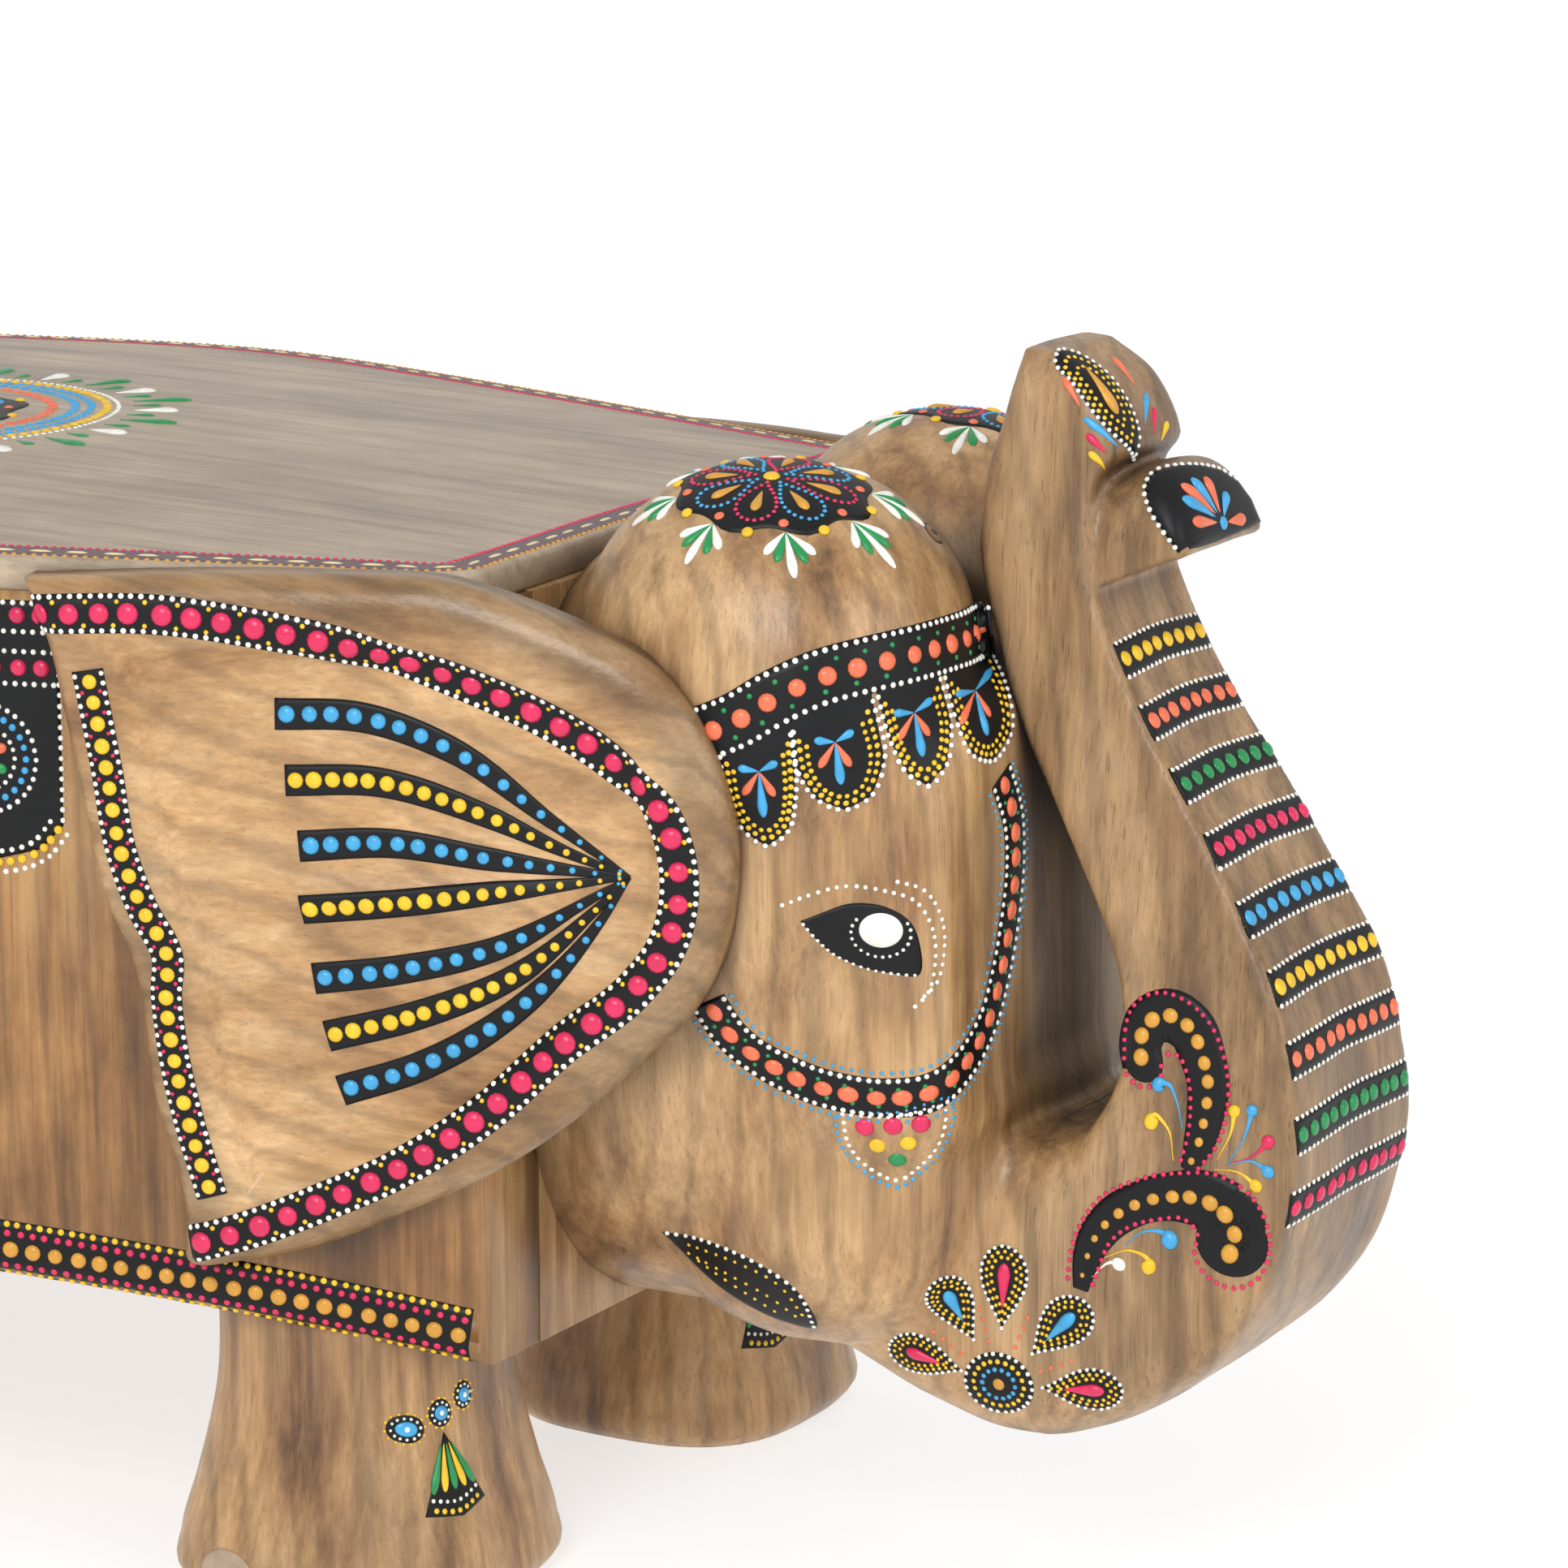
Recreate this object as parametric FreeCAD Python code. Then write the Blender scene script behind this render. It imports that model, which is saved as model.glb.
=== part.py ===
import FreeCAD, Part
import math
import os

# A carved and painted wooden elephant bench, as the glued-up pieces that it is made from. Millimetres.
# +X points to the head, +Z up, and Y runs across. The pieces are laid out from the floor under the middle of the
# seat, and moved at the end so that the origin is on the floor under the middle of the whole elephant.

os.makedirs("parts", exist_ok=True)

Vector = FreeCAD.Vector

# Seat: a bowed plan that is widest in the middle, with a gentle crown across it
SEAT_HALF_LENGTH = 408.0
SEAT_RIM_HEIGHT = 430.0
SEAT_CROWN = 9.0
SEAT_RIM_THICKNESS = 14.0
PLAN_WIDTH = 302.0
PLAN_TAPER = 0.326
PLAN_SOFTNESS = 23.0

# Body: a hollow box of upright staves, closed by end boards and an arched belly board
BODY_INSET = 2.0
WALL = 45.0
END_BOARD_HALF_WIDTH = 120.0
BELLY_END_HEIGHT = 107.0
BELLY_MIDDLE_HEIGHT = 142.0
BELLY_THICKNESS = 30.0
STAVE_JOINTS = [-SEAT_HALF_LENGTH, -137.0, 137.0, SEAT_HALF_LENGTH]
STAVE_NAMES = ["rear", "middle", "front"]
POST_X = (275.0, 363.0)
POST_Y = (62.0, 132.0)

# Legs: rounded square posts that flare to the foot
LEG_X = 327.0
LEG_Y = 125.0
LEG_SECTIONS = [(0.0, 68.0), (8.0, 72.0), (30.0, 70.0), (60.0, 62.5), (95.0, 56.5), (150.0, 57.0)]
LEG_SQUARENESS = 2.9

# Head: a cranium with a flat brow, temples and two domes, running down into the muzzle. Each bulge is a
# superellipsoid: (centre, radii, exponent); those off the middle plane stand on both sides
NECK_BACK = SEAT_HALF_LENGTH
NECK_FRONT = 428.0
MUZZLE_FRONT = 598.0
CRANIUM = ((418.0, 0.0, 262.0), (178.0, 133.0, 158.0), 2.3)
BROW = ((505.0, 0.0, 286.0), (83.0, 116.0, 108.0), 3.8)
TEMPLE = ((470.0, 62.0, 320.0), (98.0, 80.0, 126.0), 2.2)
DOME = ((491.0, 72.0, 381.0), (81.0, 75.0, 86.0), 2.2)
MUZZLE = ((560.0, 0.0, 150.0), (150.0, 65.0, 66.0), 3.0)
HEAD_STATIONS = [NECK_FRONT, 455.0, 485.0, 515.0, 545.0, 570.0, 589.0, MUZZLE_FRONT]
HEAD_SPOKES = 24

# Trunk: (outer x, outer z, inner x, inner z, half width) of each section, from the muzzle up to the tip
TRUNK_SECTIONS = [
    (598.0, 84.0, 598.0, 215.0, 63.0),
    (650.0, 106.0, 612.0, 215.0, 62.0),
    (691.0, 140.0, 624.0, 221.0, 60.0),
    (710.5, 182.0, 632.0, 233.0, 57.0),
    (711.5, 222.0, 635.0, 250.0, 54.0),
    (697.0, 270.0, 627.0, 282.0, 49.0),
    (667.0, 323.0, 601.0, 332.0, 44.0),
    (632.0, 376.0, 576.0, 381.0, 40.0),
    (612.0, 418.0, 561.0, 426.0, 37.0),
    (612.0, 446.0, 562.0, 455.0, 35.0),
    (620.0, 474.0, 564.0, 477.0, 33.0),
    (608.0, 498.0, 569.0, 498.0, 31.0),
    (591.0, 514.0, 571.0, 515.0, 27.0),
]
TRUNK_CHAMFER = 7.0
LIP_OUTLINE = [(604, 422), (611, 417), (650, 433), (657, 440), (653, 460), (641, 471), (616, 467), (604, 456)]
LIP_HALF_WIDTH = 36.0

# Ears: flat slabs on the tapering flanks; outline points are (along the flank, height)
EAR_ANGLE = math.radians(17.65)
EAR_FOOT = (240.0, 218.9)
EAR_THICKNESS = 22.0
EAR_FRONT_CURVE = [(178, 431), (202, 421), (228, 411), (250, 400), (268, 382), (279, 360), (284, 335), (284, 313)]
EAR_LOWER_CURVE = [(277, 282), (266, 262), (250, 246), (218, 216), (185, 193), (151, 176), (118, 161), (86, 152), (61, 150)]
EAR_REAR_CURVE = [(57, 190), (47, 228), (40, 270), (28, 308), (20, 346), (12, 394), (0, 422)]

# Rump and tail
RUMP_SECTIONS = [(0.0, 152.0, 152.0), (16.0, 142.0, 144.0), (30.0, 116.0, 124.0), (38.0, 78.0, 94.0)]
RUMP_CENTRE_HEIGHT = 262.0
RUMP_SQUARENESS = 2.5
TAIL_SECTIONS = [(-440, 366, 9.0), (-452, 330, 11.0), (-455, 260, 9.5), (-456, 215, 9.0), (-456, 190, 14.0), (-454, 150, 6.0)]

# Dowels and plugs
LEG_DOWEL = (325.0, 105.0, 12.5, 70.0, 230.0)
NECK_DOWEL_RADIUS = 10.0
NECK_DOWEL_PLACES = [(70.0, 190.0), (70.0, 340.0)]
TRUNK_DOWEL_RADIUS = 12.0
EAR_DOWEL_RADIUS = 6.0
EAR_DOWEL_PLACES = [(70.0, 200.0), (60.0, 370.0), (140.0, 250.0)]
SEAT_DOWEL_RADIUS = 5.0
SEAT_DOWEL_X = [-340.0, -200.0, -60.0, 60.0, 200.0, 340.0]
PLUG_PLACE = (558.5, 60.0, 432.5)
PLUG_RADIUS = 4.5
PLUG_LENGTH = 14.0

SIDES = {"right": -1, "left": 1}
ENDS = {"front": 1, "rear": -1}

parts = {}


def half_width(x):
    """Half of the seat's width at x: straight tapers that meet in a soft curve at the middle."""
    return PLAN_WIDTH - math.hypot(PLAN_TAPER * x, PLAN_SOFTNESS)


def spline_edge(points, closed=False):
    curve = Part.BSplineCurve()
    curve.interpolate(Points=points, PeriodicFlag=closed)
    return curve.toShape()


def plan_solid(inset, half_length, bottom, top):
    """The seat's plan, drawn in by inset at the sides and ending at half_length, as an upright prism."""
    stations = [half_length * i / 4 for i in range(-4, 5)]
    right = [Vector(x, -(half_width(x) - inset), bottom) for x in stations]
    left = [Vector(x, half_width(x) - inset, bottom) for x in reversed(stations)]
    edges = [
        spline_edge(right),
        Part.makeLine(right[-1], left[0]),
        spline_edge(left),
        Part.makeLine(left[-1], right[0]),
    ]
    return Part.Face(Part.Wire(edges)).extrude(Vector(0, 0, top - bottom))


def block(x, y, z):
    """A box from its (low, high) pairs."""
    return Part.makeBox(x[1] - x[0], y[1] - y[0], z[1] - z[0], Vector(x[0], y[0], z[0]))


def below_arch(lift):
    """Everything under the belly's arch when the arch is raised by lift."""
    reach = SEAT_HALF_LENGTH + 2.0
    low = Vector(-reach, -320, BELLY_END_HEIGHT + lift)
    middle = Vector(0, -320, BELLY_MIDDLE_HEIGHT + lift)
    high = Vector(reach, -320, BELLY_END_HEIGHT + lift)
    base_right = Vector(reach, -320, -10)
    base_left = Vector(-reach, -320, -10)
    edges = [
        Part.Arc(low, middle, high).toShape(),
        Part.makeLine(high, base_right),
        Part.makeLine(base_right, base_left),
        Part.makeLine(base_left, low),
    ]
    return Part.Face(Part.Wire(edges)).extrude(Vector(0, 640, 0))


def rounded_section(centre, half_y, half_other, squareness, upright):
    """A superellipse about centre: in the YZ plane when upright, otherwise in the XY plane."""
    points = []
    for i in range(16):
        angle = 2 * math.pi * i / 16
        c = math.cos(angle)
        s = math.sin(angle)
        across = math.copysign(abs(c) ** (2 / squareness), c) * half_y
        other = math.copysign(abs(s) ** (2 / squareness), s) * half_other
        step = Vector(0, across, other) if upright else Vector(other, across, 0)
        points.append(centre + step)
    return Part.Wire(spline_edge(points, closed=True))


def inside(point, blob):
    """True when point is inside a superellipsoid given as (centre, radii, exponent)."""
    centre, radii, power = blob
    return sum(abs((p - c) / r) ** power for p, c, r in zip(point, centre, radii)) <= 1


def head_section(x):
    """The outline of all the bulges and the muzzle together, in the plane at x."""
    blobs = [CRANIUM, BROW, MUZZLE]
    for (centre_x, centre_y, centre_z), radii, power in (TEMPLE, DOME):
        blobs += [((centre_x, side * centre_y, centre_z), radii, power) for side in (-1, 1)]
    share = (x - NECK_FRONT) / (MUZZLE_FRONT - NECK_FRONT)
    middle = 262.0 - 112.0 * max(0.0, share)
    points = []
    for i in range(HEAD_SPOKES):
        angle = 2 * math.pi * (i + 0.5) / HEAD_SPOKES
        reach = 260.0
        while reach > 20.0:
            y = reach * math.sin(angle)
            z = middle + reach * math.cos(angle)
            if any(inside((x, y, z), blob) for blob in blobs):
                break
            reach -= 0.5
        points.append(Vector(x, reach * math.sin(angle), middle + reach * math.cos(angle)))
    return Part.Wire(spline_edge(points, closed=True))


def trunk_section(outer_x, outer_z, inner_x, inner_z, half):
    """A rectangle with cut corners, across the trunk between its outer and inner lines."""
    outer = Vector(outer_x, 0, outer_z)
    inner = Vector(inner_x, 0, inner_z)
    cut = (inner - outer).normalize() * min(TRUNK_CHAMFER, (inner - outer).Length / 3)
    flat = Vector(0, half - TRUNK_CHAMFER, 0)
    full = Vector(0, half, 0)
    corners = [outer - flat, outer + flat, outer + cut + full, inner - cut + full]
    corners += [inner + flat, inner - flat, inner - cut - full, outer + cut - full]
    return Part.makePolygon(corners + corners[:1])


def ear_vectors(side):
    """The direction along the flank towards the head, and the direction out of the flank."""
    along = Vector(math.cos(EAR_ANGLE), -side * math.sin(EAR_ANGLE), 0)
    out = Vector(math.sin(EAR_ANGLE), side * math.cos(EAR_ANGLE), 0)
    return along, out


def on_ear(side, s, z):
    along, _ = ear_vectors(side)
    return Vector(EAR_FOOT[0], side * EAR_FOOT[1], z) + along * s


def drill(dowels, names):
    """Seats the dowels: cuts them out of the named pieces."""
    for name in names:
        for dowel in dowels:
            parts[name] = parts[name].cut(dowel)


def make_seat():
    crown_radius = (half_width(0) ** 2 + SEAT_CROWN**2) / (2 * SEAT_CROWN)
    crown = Part.makeCylinder(
        crown_radius,
        2 * SEAT_HALF_LENGTH + 40,
        Vector(-SEAT_HALF_LENGTH - 20, 0, SEAT_RIM_HEIGHT + SEAT_CROWN - crown_radius),
        Vector(1, 0, 0),
    )
    bottom = SEAT_RIM_HEIGHT - SEAT_RIM_THICKNESS
    slab = plan_solid(0, SEAT_HALF_LENGTH, bottom, bottom + 30)
    parts["seat_top"] = slab.common(crown)


def make_body():
    seat_bottom = SEAT_RIM_HEIGHT - SEAT_RIM_THICKNESS
    low = BELLY_END_HEIGHT - 5
    hollow = plan_solid(BODY_INSET + WALL, SEAT_HALF_LENGTH - WALL, low, seat_bottom)
    ends = {}
    for end, sign in ENDS.items():
        x = sorted([sign * (SEAT_HALF_LENGTH - WALL), sign * SEAT_HALF_LENGTH])
        ends[end] = block(x, (-END_BOARD_HALF_WIDTH, END_BOARD_HALF_WIDTH), (low, seat_bottom))
    arch = below_arch(0)
    shell = plan_solid(BODY_INSET, SEAT_HALF_LENGTH, low, seat_bottom).cut(hollow)
    shell = shell.cut(ends["front"]).cut(ends["rear"]).cut(arch)
    for side, sign in SIDES.items():
        for i, name in enumerate(STAVE_NAMES):
            cell = block(STAVE_JOINTS[i : i + 2], sorted([0, sign * 300]), (low, seat_bottom))
            parts[f"{side}_flank_{name}_stave"] = shell.common(cell)
    parts["chest_board"] = ends["front"].cut(arch)
    parts["rump_board"] = ends["rear"].cut(arch)
    belly_top = below_arch(BELLY_THICKNESS)
    parts["belly_board"] = hollow.cut(arch).common(belly_top)
    for end, x_sign in ENDS.items():
        for side, y_sign in SIDES.items():
            x = sorted([x_sign * POST_X[0], x_sign * POST_X[1]])
            y = sorted([y_sign * POST_Y[0], y_sign * POST_Y[1]])
            parts[f"{end}_{side}_inner_post"] = block(x, y, (low, seat_bottom)).cut(belly_top)


def make_legs():
    arch = below_arch(0)
    for end, x_sign in ENDS.items():
        for side, y_sign in SIDES.items():
            wires = []
            for z, half in LEG_SECTIONS:
                centre = Vector(x_sign * LEG_X, y_sign * LEG_Y, z)
                wires.append(rounded_section(centre, half, half, LEG_SQUARENESS, upright=False))
            parts[f"{end}_{side}_leg"] = Part.makeLoft(wires, True, False).common(arch)


def make_head():
    neck_wires = [head_section(NECK_BACK), head_section(NECK_FRONT)]
    parts["neck_block"] = Part.makeLoft(neck_wires, True, True)
    parts["head_block"] = Part.makeLoft([head_section(x) for x in HEAD_STATIONS], True, False)


def make_trunk():
    curl = Part.makeLoft([trunk_section(*row) for row in TRUNK_SECTIONS], True, False)
    corners = [Vector(x, -LIP_HALF_WIDTH, z) for x, z in LIP_OUTLINE]
    lip = Part.Face(Part.makePolygon(corners + corners[:1])).extrude(Vector(0, 2 * LIP_HALF_WIDTH, 0))
    parts["trunk_block"] = curl.fuse(lip).removeSplitter()


def make_ears():
    for side, sign in SIDES.items():
        _, out = ear_vectors(sign)
        front = [on_ear(sign, s, z) for s, z in EAR_FRONT_CURVE + EAR_LOWER_CURVE]
        rear = [front[-1]] + [on_ear(sign, s, z) for s, z in EAR_REAR_CURVE]
        edges = [spline_edge(front), spline_edge(rear), Part.makeLine(rear[-1], front[0])]
        parts[f"{side}_ear"] = Part.Face(Part.Wire(edges)).extrude(out * EAR_THICKNESS)


def make_rump():
    wires = []
    for depth, half_y, half_z in RUMP_SECTIONS:
        centre = Vector(-SEAT_HALF_LENGTH - depth, 0, RUMP_CENTRE_HEIGHT)
        wires.append(rounded_section(centre, half_y, half_z, RUMP_SQUARENESS, upright=True))
    rump = Part.makeLoft(wires, True, False)
    rings = [Part.Wire(Part.makeCircle(r, Vector(x, 0, z))) for x, z, r in TAIL_SECTIONS]
    tail = Part.makeLoft(rings, True, False)
    parts["rump_block"] = rump
    parts["tail"] = tail.cut(rump)


def make_leg_dowels():
    x, y, radius, bottom, top = LEG_DOWEL
    for end, x_sign in ENDS.items():
        for side, y_sign in SIDES.items():
            foot = Vector(x_sign * x, y_sign * y, bottom)
            dowel = Part.makeCylinder(radius, top - bottom, foot)
            drill([dowel], [f"{end}_{side}_leg", "belly_board", f"{end}_{side}_inner_post"])
            parts[f"{end}_{side}_leg_dowel"] = dowel


def make_neck_dowels():
    dowels = []
    for y, z in NECK_DOWEL_PLACES:
        for sign in SIDES.values():
            foot = Vector(SEAT_HALF_LENGTH - 30, sign * y, z)
            dowels.append(Part.makeCylinder(NECK_DOWEL_RADIUS, 95, foot, Vector(1, 0, 0)))
    drill(dowels, ["chest_board", "neck_block", "head_block"])
    parts["neck_dowels"] = Part.makeCompound(dowels)


def make_trunk_dowels():
    dowels = []
    for sign in SIDES.values():
        foot = Vector(MUZZLE_FRONT - 30, sign * 28, 148)
        dowels.append(Part.makeCylinder(TRUNK_DOWEL_RADIUS, 65, foot, Vector(1, 0, 0)))
    drill(dowels, ["head_block", "trunk_block"])
    parts["trunk_dowels"] = Part.makeCompound(dowels)


def make_ear_dowels():
    for side, sign in SIDES.items():
        _, out = ear_vectors(sign)
        dowels = []
        for s, z in EAR_DOWEL_PLACES:
            foot = on_ear(sign, s, z) - out * 25
            dowels.append(Part.makeCylinder(EAR_DOWEL_RADIUS, 38, foot, out))
        drill(dowels, [f"{side}_ear", f"{side}_flank_front_stave"])
        parts[f"{side}_ear_dowels"] = Part.makeCompound(dowels)


def make_seat_dowels():
    for side, sign in SIDES.items():
        dowels = []
        for x in SEAT_DOWEL_X:
            y = sign * (half_width(x) - BODY_INSET - WALL / 2)
            foot = Vector(x, y, SEAT_RIM_HEIGHT - 45)
            dowels.append(Part.makeCylinder(SEAT_DOWEL_RADIUS, 40, foot))
        drill(dowels, ["seat_top"] + [f"{side}_flank_{name}_stave" for name in STAVE_NAMES])
        parts[f"{side}_seat_dowels"] = Part.makeCompound(dowels)


def make_rump_dowels():
    dowels = []
    for sign in SIDES.values():
        foot = Vector(-SEAT_HALF_LENGTH - 18, sign * 60, RUMP_CENTRE_HEIGHT)
        dowels.append(Part.makeCylinder(NECK_DOWEL_RADIUS, 48, foot, Vector(1, 0, 0)))
    drill(dowels, ["rump_block", "rump_board"])
    parts["rump_dowels"] = Part.makeCompound(dowels)


def make_plugs():
    x, y, z = PLUG_PLACE
    centre = Vector(*DOME[0])
    for side, sign in SIDES.items():
        face = Vector(x, sign * y, z)
        middle = Vector(centre.x, sign * centre.y, centre.z)
        inward = (middle - face).normalize()
        plug = Part.makeCylinder(PLUG_RADIUS, PLUG_LENGTH, face, inward)
        drill([plug], ["head_block"])
        parts[f"{side}_forehead_plug"] = plug


for make in [
    make_seat,
    make_body,
    make_legs,
    make_head,
    make_trunk,
    make_ears,
    make_rump,
    make_leg_dowels,
    make_neck_dowels,
    make_trunk_dowels,
    make_ear_dowels,
    make_seat_dowels,
    make_rump_dowels,
    make_plugs,
]:
    make()

whole = Part.makeCompound(list(parts.values())).optimalBoundingBox()
to_middle = Vector(-(whole.XMin + whole.XMax) / 2, 0, 0)
print(f"moved by {to_middle.x:.3f} mm along X")

for node, shape in parts.items():
    shape.translate(to_middle)
    shape.exportStep(f"parts/{node}.step")
    state = "valid" if shape.isValid() else "NOT VALID"
    print(f"{node:28s} {len(shape.Solids)} solid, {shape.Volume / 1000:9.1f} cm3, {state}")
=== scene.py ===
import math

import bmesh
import bpy
import numpy as np
from mathutils import Matrix, Vector


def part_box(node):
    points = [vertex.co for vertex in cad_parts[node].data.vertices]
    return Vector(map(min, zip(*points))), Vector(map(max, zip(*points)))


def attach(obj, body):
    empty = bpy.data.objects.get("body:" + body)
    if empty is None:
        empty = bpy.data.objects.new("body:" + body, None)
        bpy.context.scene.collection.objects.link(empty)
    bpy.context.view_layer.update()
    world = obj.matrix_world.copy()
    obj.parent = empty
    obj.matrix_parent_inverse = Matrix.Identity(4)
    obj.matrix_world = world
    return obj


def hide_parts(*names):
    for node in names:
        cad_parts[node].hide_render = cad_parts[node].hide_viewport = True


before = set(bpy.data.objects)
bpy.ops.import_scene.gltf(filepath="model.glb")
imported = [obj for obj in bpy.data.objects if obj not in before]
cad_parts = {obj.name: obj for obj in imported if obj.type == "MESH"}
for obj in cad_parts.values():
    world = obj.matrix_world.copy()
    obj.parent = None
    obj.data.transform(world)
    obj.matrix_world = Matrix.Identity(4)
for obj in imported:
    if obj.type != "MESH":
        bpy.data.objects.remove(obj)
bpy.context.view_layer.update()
print("frame loaded:", len(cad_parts), "nodes")

seatLow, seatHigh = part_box("seat_top")
seatMiddle = np.array([(seatLow.x + seatHigh.x) / 2, 0, 0])  # shapes are in mm from the floor under it
rideOn = "root"
nearSide, farSide = -1, 1  # the elephant's right is at -Y


def smoothPath(points, count):
    # a Catmull-Rom curve through the points, read at count places evenly spaced by chord length
    p = np.asarray(points, float)
    chord = np.concatenate([[0], np.cumsum(np.linalg.norm(np.diff(p, axis=0), axis=1))])
    t = np.linspace(0, chord[-1], count)
    return smoothAt(chord, p, t)


def smoothAt(knots, values, t):
    # cubic Hermite curve through (knots, values) with slopes from the neighbours, read at t
    knots, v, t = np.asarray(knots, float), np.asarray(values, float), np.asarray(t, float)
    if v.ndim == 1:
        return smoothAt(knots, v[:, None], t)[:, 0]
    slope = np.gradient(v, knots, axis=0)
    i = np.clip(np.searchsorted(knots, t, side="right") - 1, 0, len(knots) - 2)
    h = (knots[i + 1] - knots[i])[:, None]
    u = ((t - knots[i]) / h[:, 0])[:, None]
    a = (1 + 2 * u) * (1 - u) ** 2 * v[i] + u * (1 - u) ** 2 * h * slope[i]
    return a + u * u * (3 - 2 * u) * v[i + 1] + u * u * (u - 1) * h * slope[i + 1]


def signedPower(x, p):
    return np.sign(x) * np.abs(x) ** p


def ramp(x, low, high):
    # 0 below low, 1 above high, smooth between
    u = np.clip((x - low) / (high - low), 0, 1)
    return u * u * (3 - 2 * u)


def ripple(p, size, seed):
    # soft unevenness of a hand-worked surface: a sum of eight sine waves of random direction, from -1 to 1
    rng = np.random.default_rng(seed)
    waves = rng.normal(size=(8, 3)) * (2 * math.pi / size)
    phase = rng.uniform(0, 2 * math.pi, 8)
    return np.sin(p @ waves.T + phase).sum(1) / 4


def polar(degrees, tall=1.0):
    # the unit direction at an angle, its height scaled by tall
    angle = math.radians(degrees)
    return np.array([math.cos(angle), math.sin(angle) * tall])


def circle(centre, radius, count, tall=1.0):
    # evenly spaced points round a circle, or round an ellipse that is tall times as high as it is wide
    turn = np.linspace(0, 2 * math.pi, count + 1)[:-1]
    return [tuple(q) for q in np.array(centre, float) + radius * np.c_[np.cos(turn), tall * np.sin(turn)]]


def shrunk(outline, share):
    # the outline drawn towards the mean of its points
    line = np.array(outline, float)
    middle = line.mean(0)
    return [tuple(q) for q in middle + (line - middle) * share]


def gridQuads(rows, columns, closed):
    # quads of a rows x columns grid; closed joins the last column to the first
    i = np.arange(rows - 1)[:, None]
    j = np.arange(columns if closed else columns - 1)[None, :]
    k = (j + 1) % columns
    corners = [i * columns + j, i * columns + k, (i + 1) * columns + k, (i + 1) * columns + j]
    return np.stack(corners, -1).reshape(-1, 4)


def tube(rings):
    # a closed shell from rings of points (n, m, 3): quads between rings, and a fan of triangles over each end
    n, m = rings.shape[:2]
    verts = np.concatenate([rings.reshape(-1, 3), rings[:1].mean(1), rings[-1:].mean(1)])
    j = np.arange(m)
    k = (j + 1) % m
    start = np.stack([k, j, np.full(m, n * m)], -1)
    end = np.stack([(n - 1) * m + j, (n - 1) * m + k, np.full(m, n * m + 1)], -1)
    return verts, gridQuads(n, m, True).tolist() + start.tolist() + end.tolist()


def fillMesh(mesh, verts, faces):
    # fills a mesh from points in mm, turning the faces outwards: the signed volume is made positive
    v = np.asarray(verts, float) / 1000 + seatMiddle
    mesh.from_pydata(v.tolist(), [], faces)
    bm = bmesh.new()
    bm.from_mesh(mesh)
    if bm.calc_volume(signed=True) < 0:
        bmesh.ops.reverse_faces(bm, faces=bm.faces)
    bm.to_mesh(mesh)
    bm.free()
    mesh.polygons.foreach_set("use_smooth", [True] * len(mesh.polygons))
    return mesh


def newPiece(name, verts, faces, material=None):
    mesh = fillMesh(bpy.data.meshes.new(name), verts, faces)
    piece = bpy.data.objects.new(name, mesh)
    bpy.context.scene.collection.objects.link(piece)
    if material:
        mesh.materials.append(material)
    return piece


def finishPiece(piece, slot, *nodes):
    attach(piece, rideOn)
    if nodes:
        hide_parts(*nodes)
    return piece


def bake(piece):
    # applies the piece's modifiers to its mesh
    graph = bpy.context.evaluated_depsgraph_get()
    mesh = bpy.data.meshes.new_from_object(piece.evaluated_get(graph))
    piece.modifiers.clear()
    piece.data = mesh
    return piece


def meshPoints(mesh):
    co = np.empty(len(mesh.vertices) * 3)
    mesh.vertices.foreach_get("co", co)
    return (co.reshape(-1, 3) - seatMiddle) * 1000


def meshNormals(mesh):
    normals = np.empty(len(mesh.vertices) * 3)
    mesh.vertices.foreach_get("normal", normals)
    return normals.reshape(-1, 3)


def movePoints(mesh, points):
    mesh.vertices.foreach_set("co", (points / 1000 + seatMiddle).ravel())
    mesh.update()


def carve(name, shells, voxel, smoothing, uneven, seed):
    # joins closed shells into one carved block: voxel remesh, a little smoothing, and a soft unevenness
    verts, faces, start = [], [], 0
    for v, f in shells:
        verts.append(v)
        faces += [[i + start for i in face] for face in f]
        start += len(v)
    piece = newPiece(name, np.concatenate(verts), faces)
    remesh = piece.modifiers.new("voxels", "REMESH")
    remesh.mode = "VOXEL"
    remesh.voxel_size = voxel / 1000
    soft = piece.modifiers.new("soft", "SMOOTH")
    soft.factor = 0.5
    soft.iterations = smoothing
    bake(piece)
    points = meshPoints(piece.data)
    mirrored = np.abs(points) * [0, 1, 0] + points * [1, 0, 1]  # so that left and right are alike
    points += meshNormals(piece.data) * (ripple(mirrored, 60, seed) * uneven)[:, None]
    movePoints(piece.data, points)
    piece.data.polygons.foreach_set("use_smooth", [True] * len(piece.data.polygons))
    return piece


def cutFlat(piece, x, keepFront, below=10000):
    # saws a piece at the plane x and closes the cut. Only what lies lower than 'below' is sawn
    bm = bmesh.new()
    bm.from_mesh(piece.data)
    place = Vector((x / 1000 + seatMiddle[0], 0, 0))
    geom = [e for e in bm.verts[:] + bm.edges[:] + bm.faces[:] if lowest(e) < below / 1000]
    cut = bmesh.ops.bisect_plane(
        bm, geom=geom, plane_co=place, plane_no=(1, 0, 0), clear_inner=keepFront, clear_outer=not keepFront
    )
    edges = [e for e in cut["geom_cut"] if isinstance(e, bmesh.types.BMEdge) and e.is_valid and e.is_boundary]
    for edge in edges:
        edge.smooth = False
    bmesh.ops.holes_fill(bm, edges=edges, sides=0)
    bm.to_mesh(piece.data)
    bm.free()
    return piece


def lowest(element):
    verts = [element] if isinstance(element, bmesh.types.BMVert) else element.verts
    return min(v.co.z for v in verts)


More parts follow.
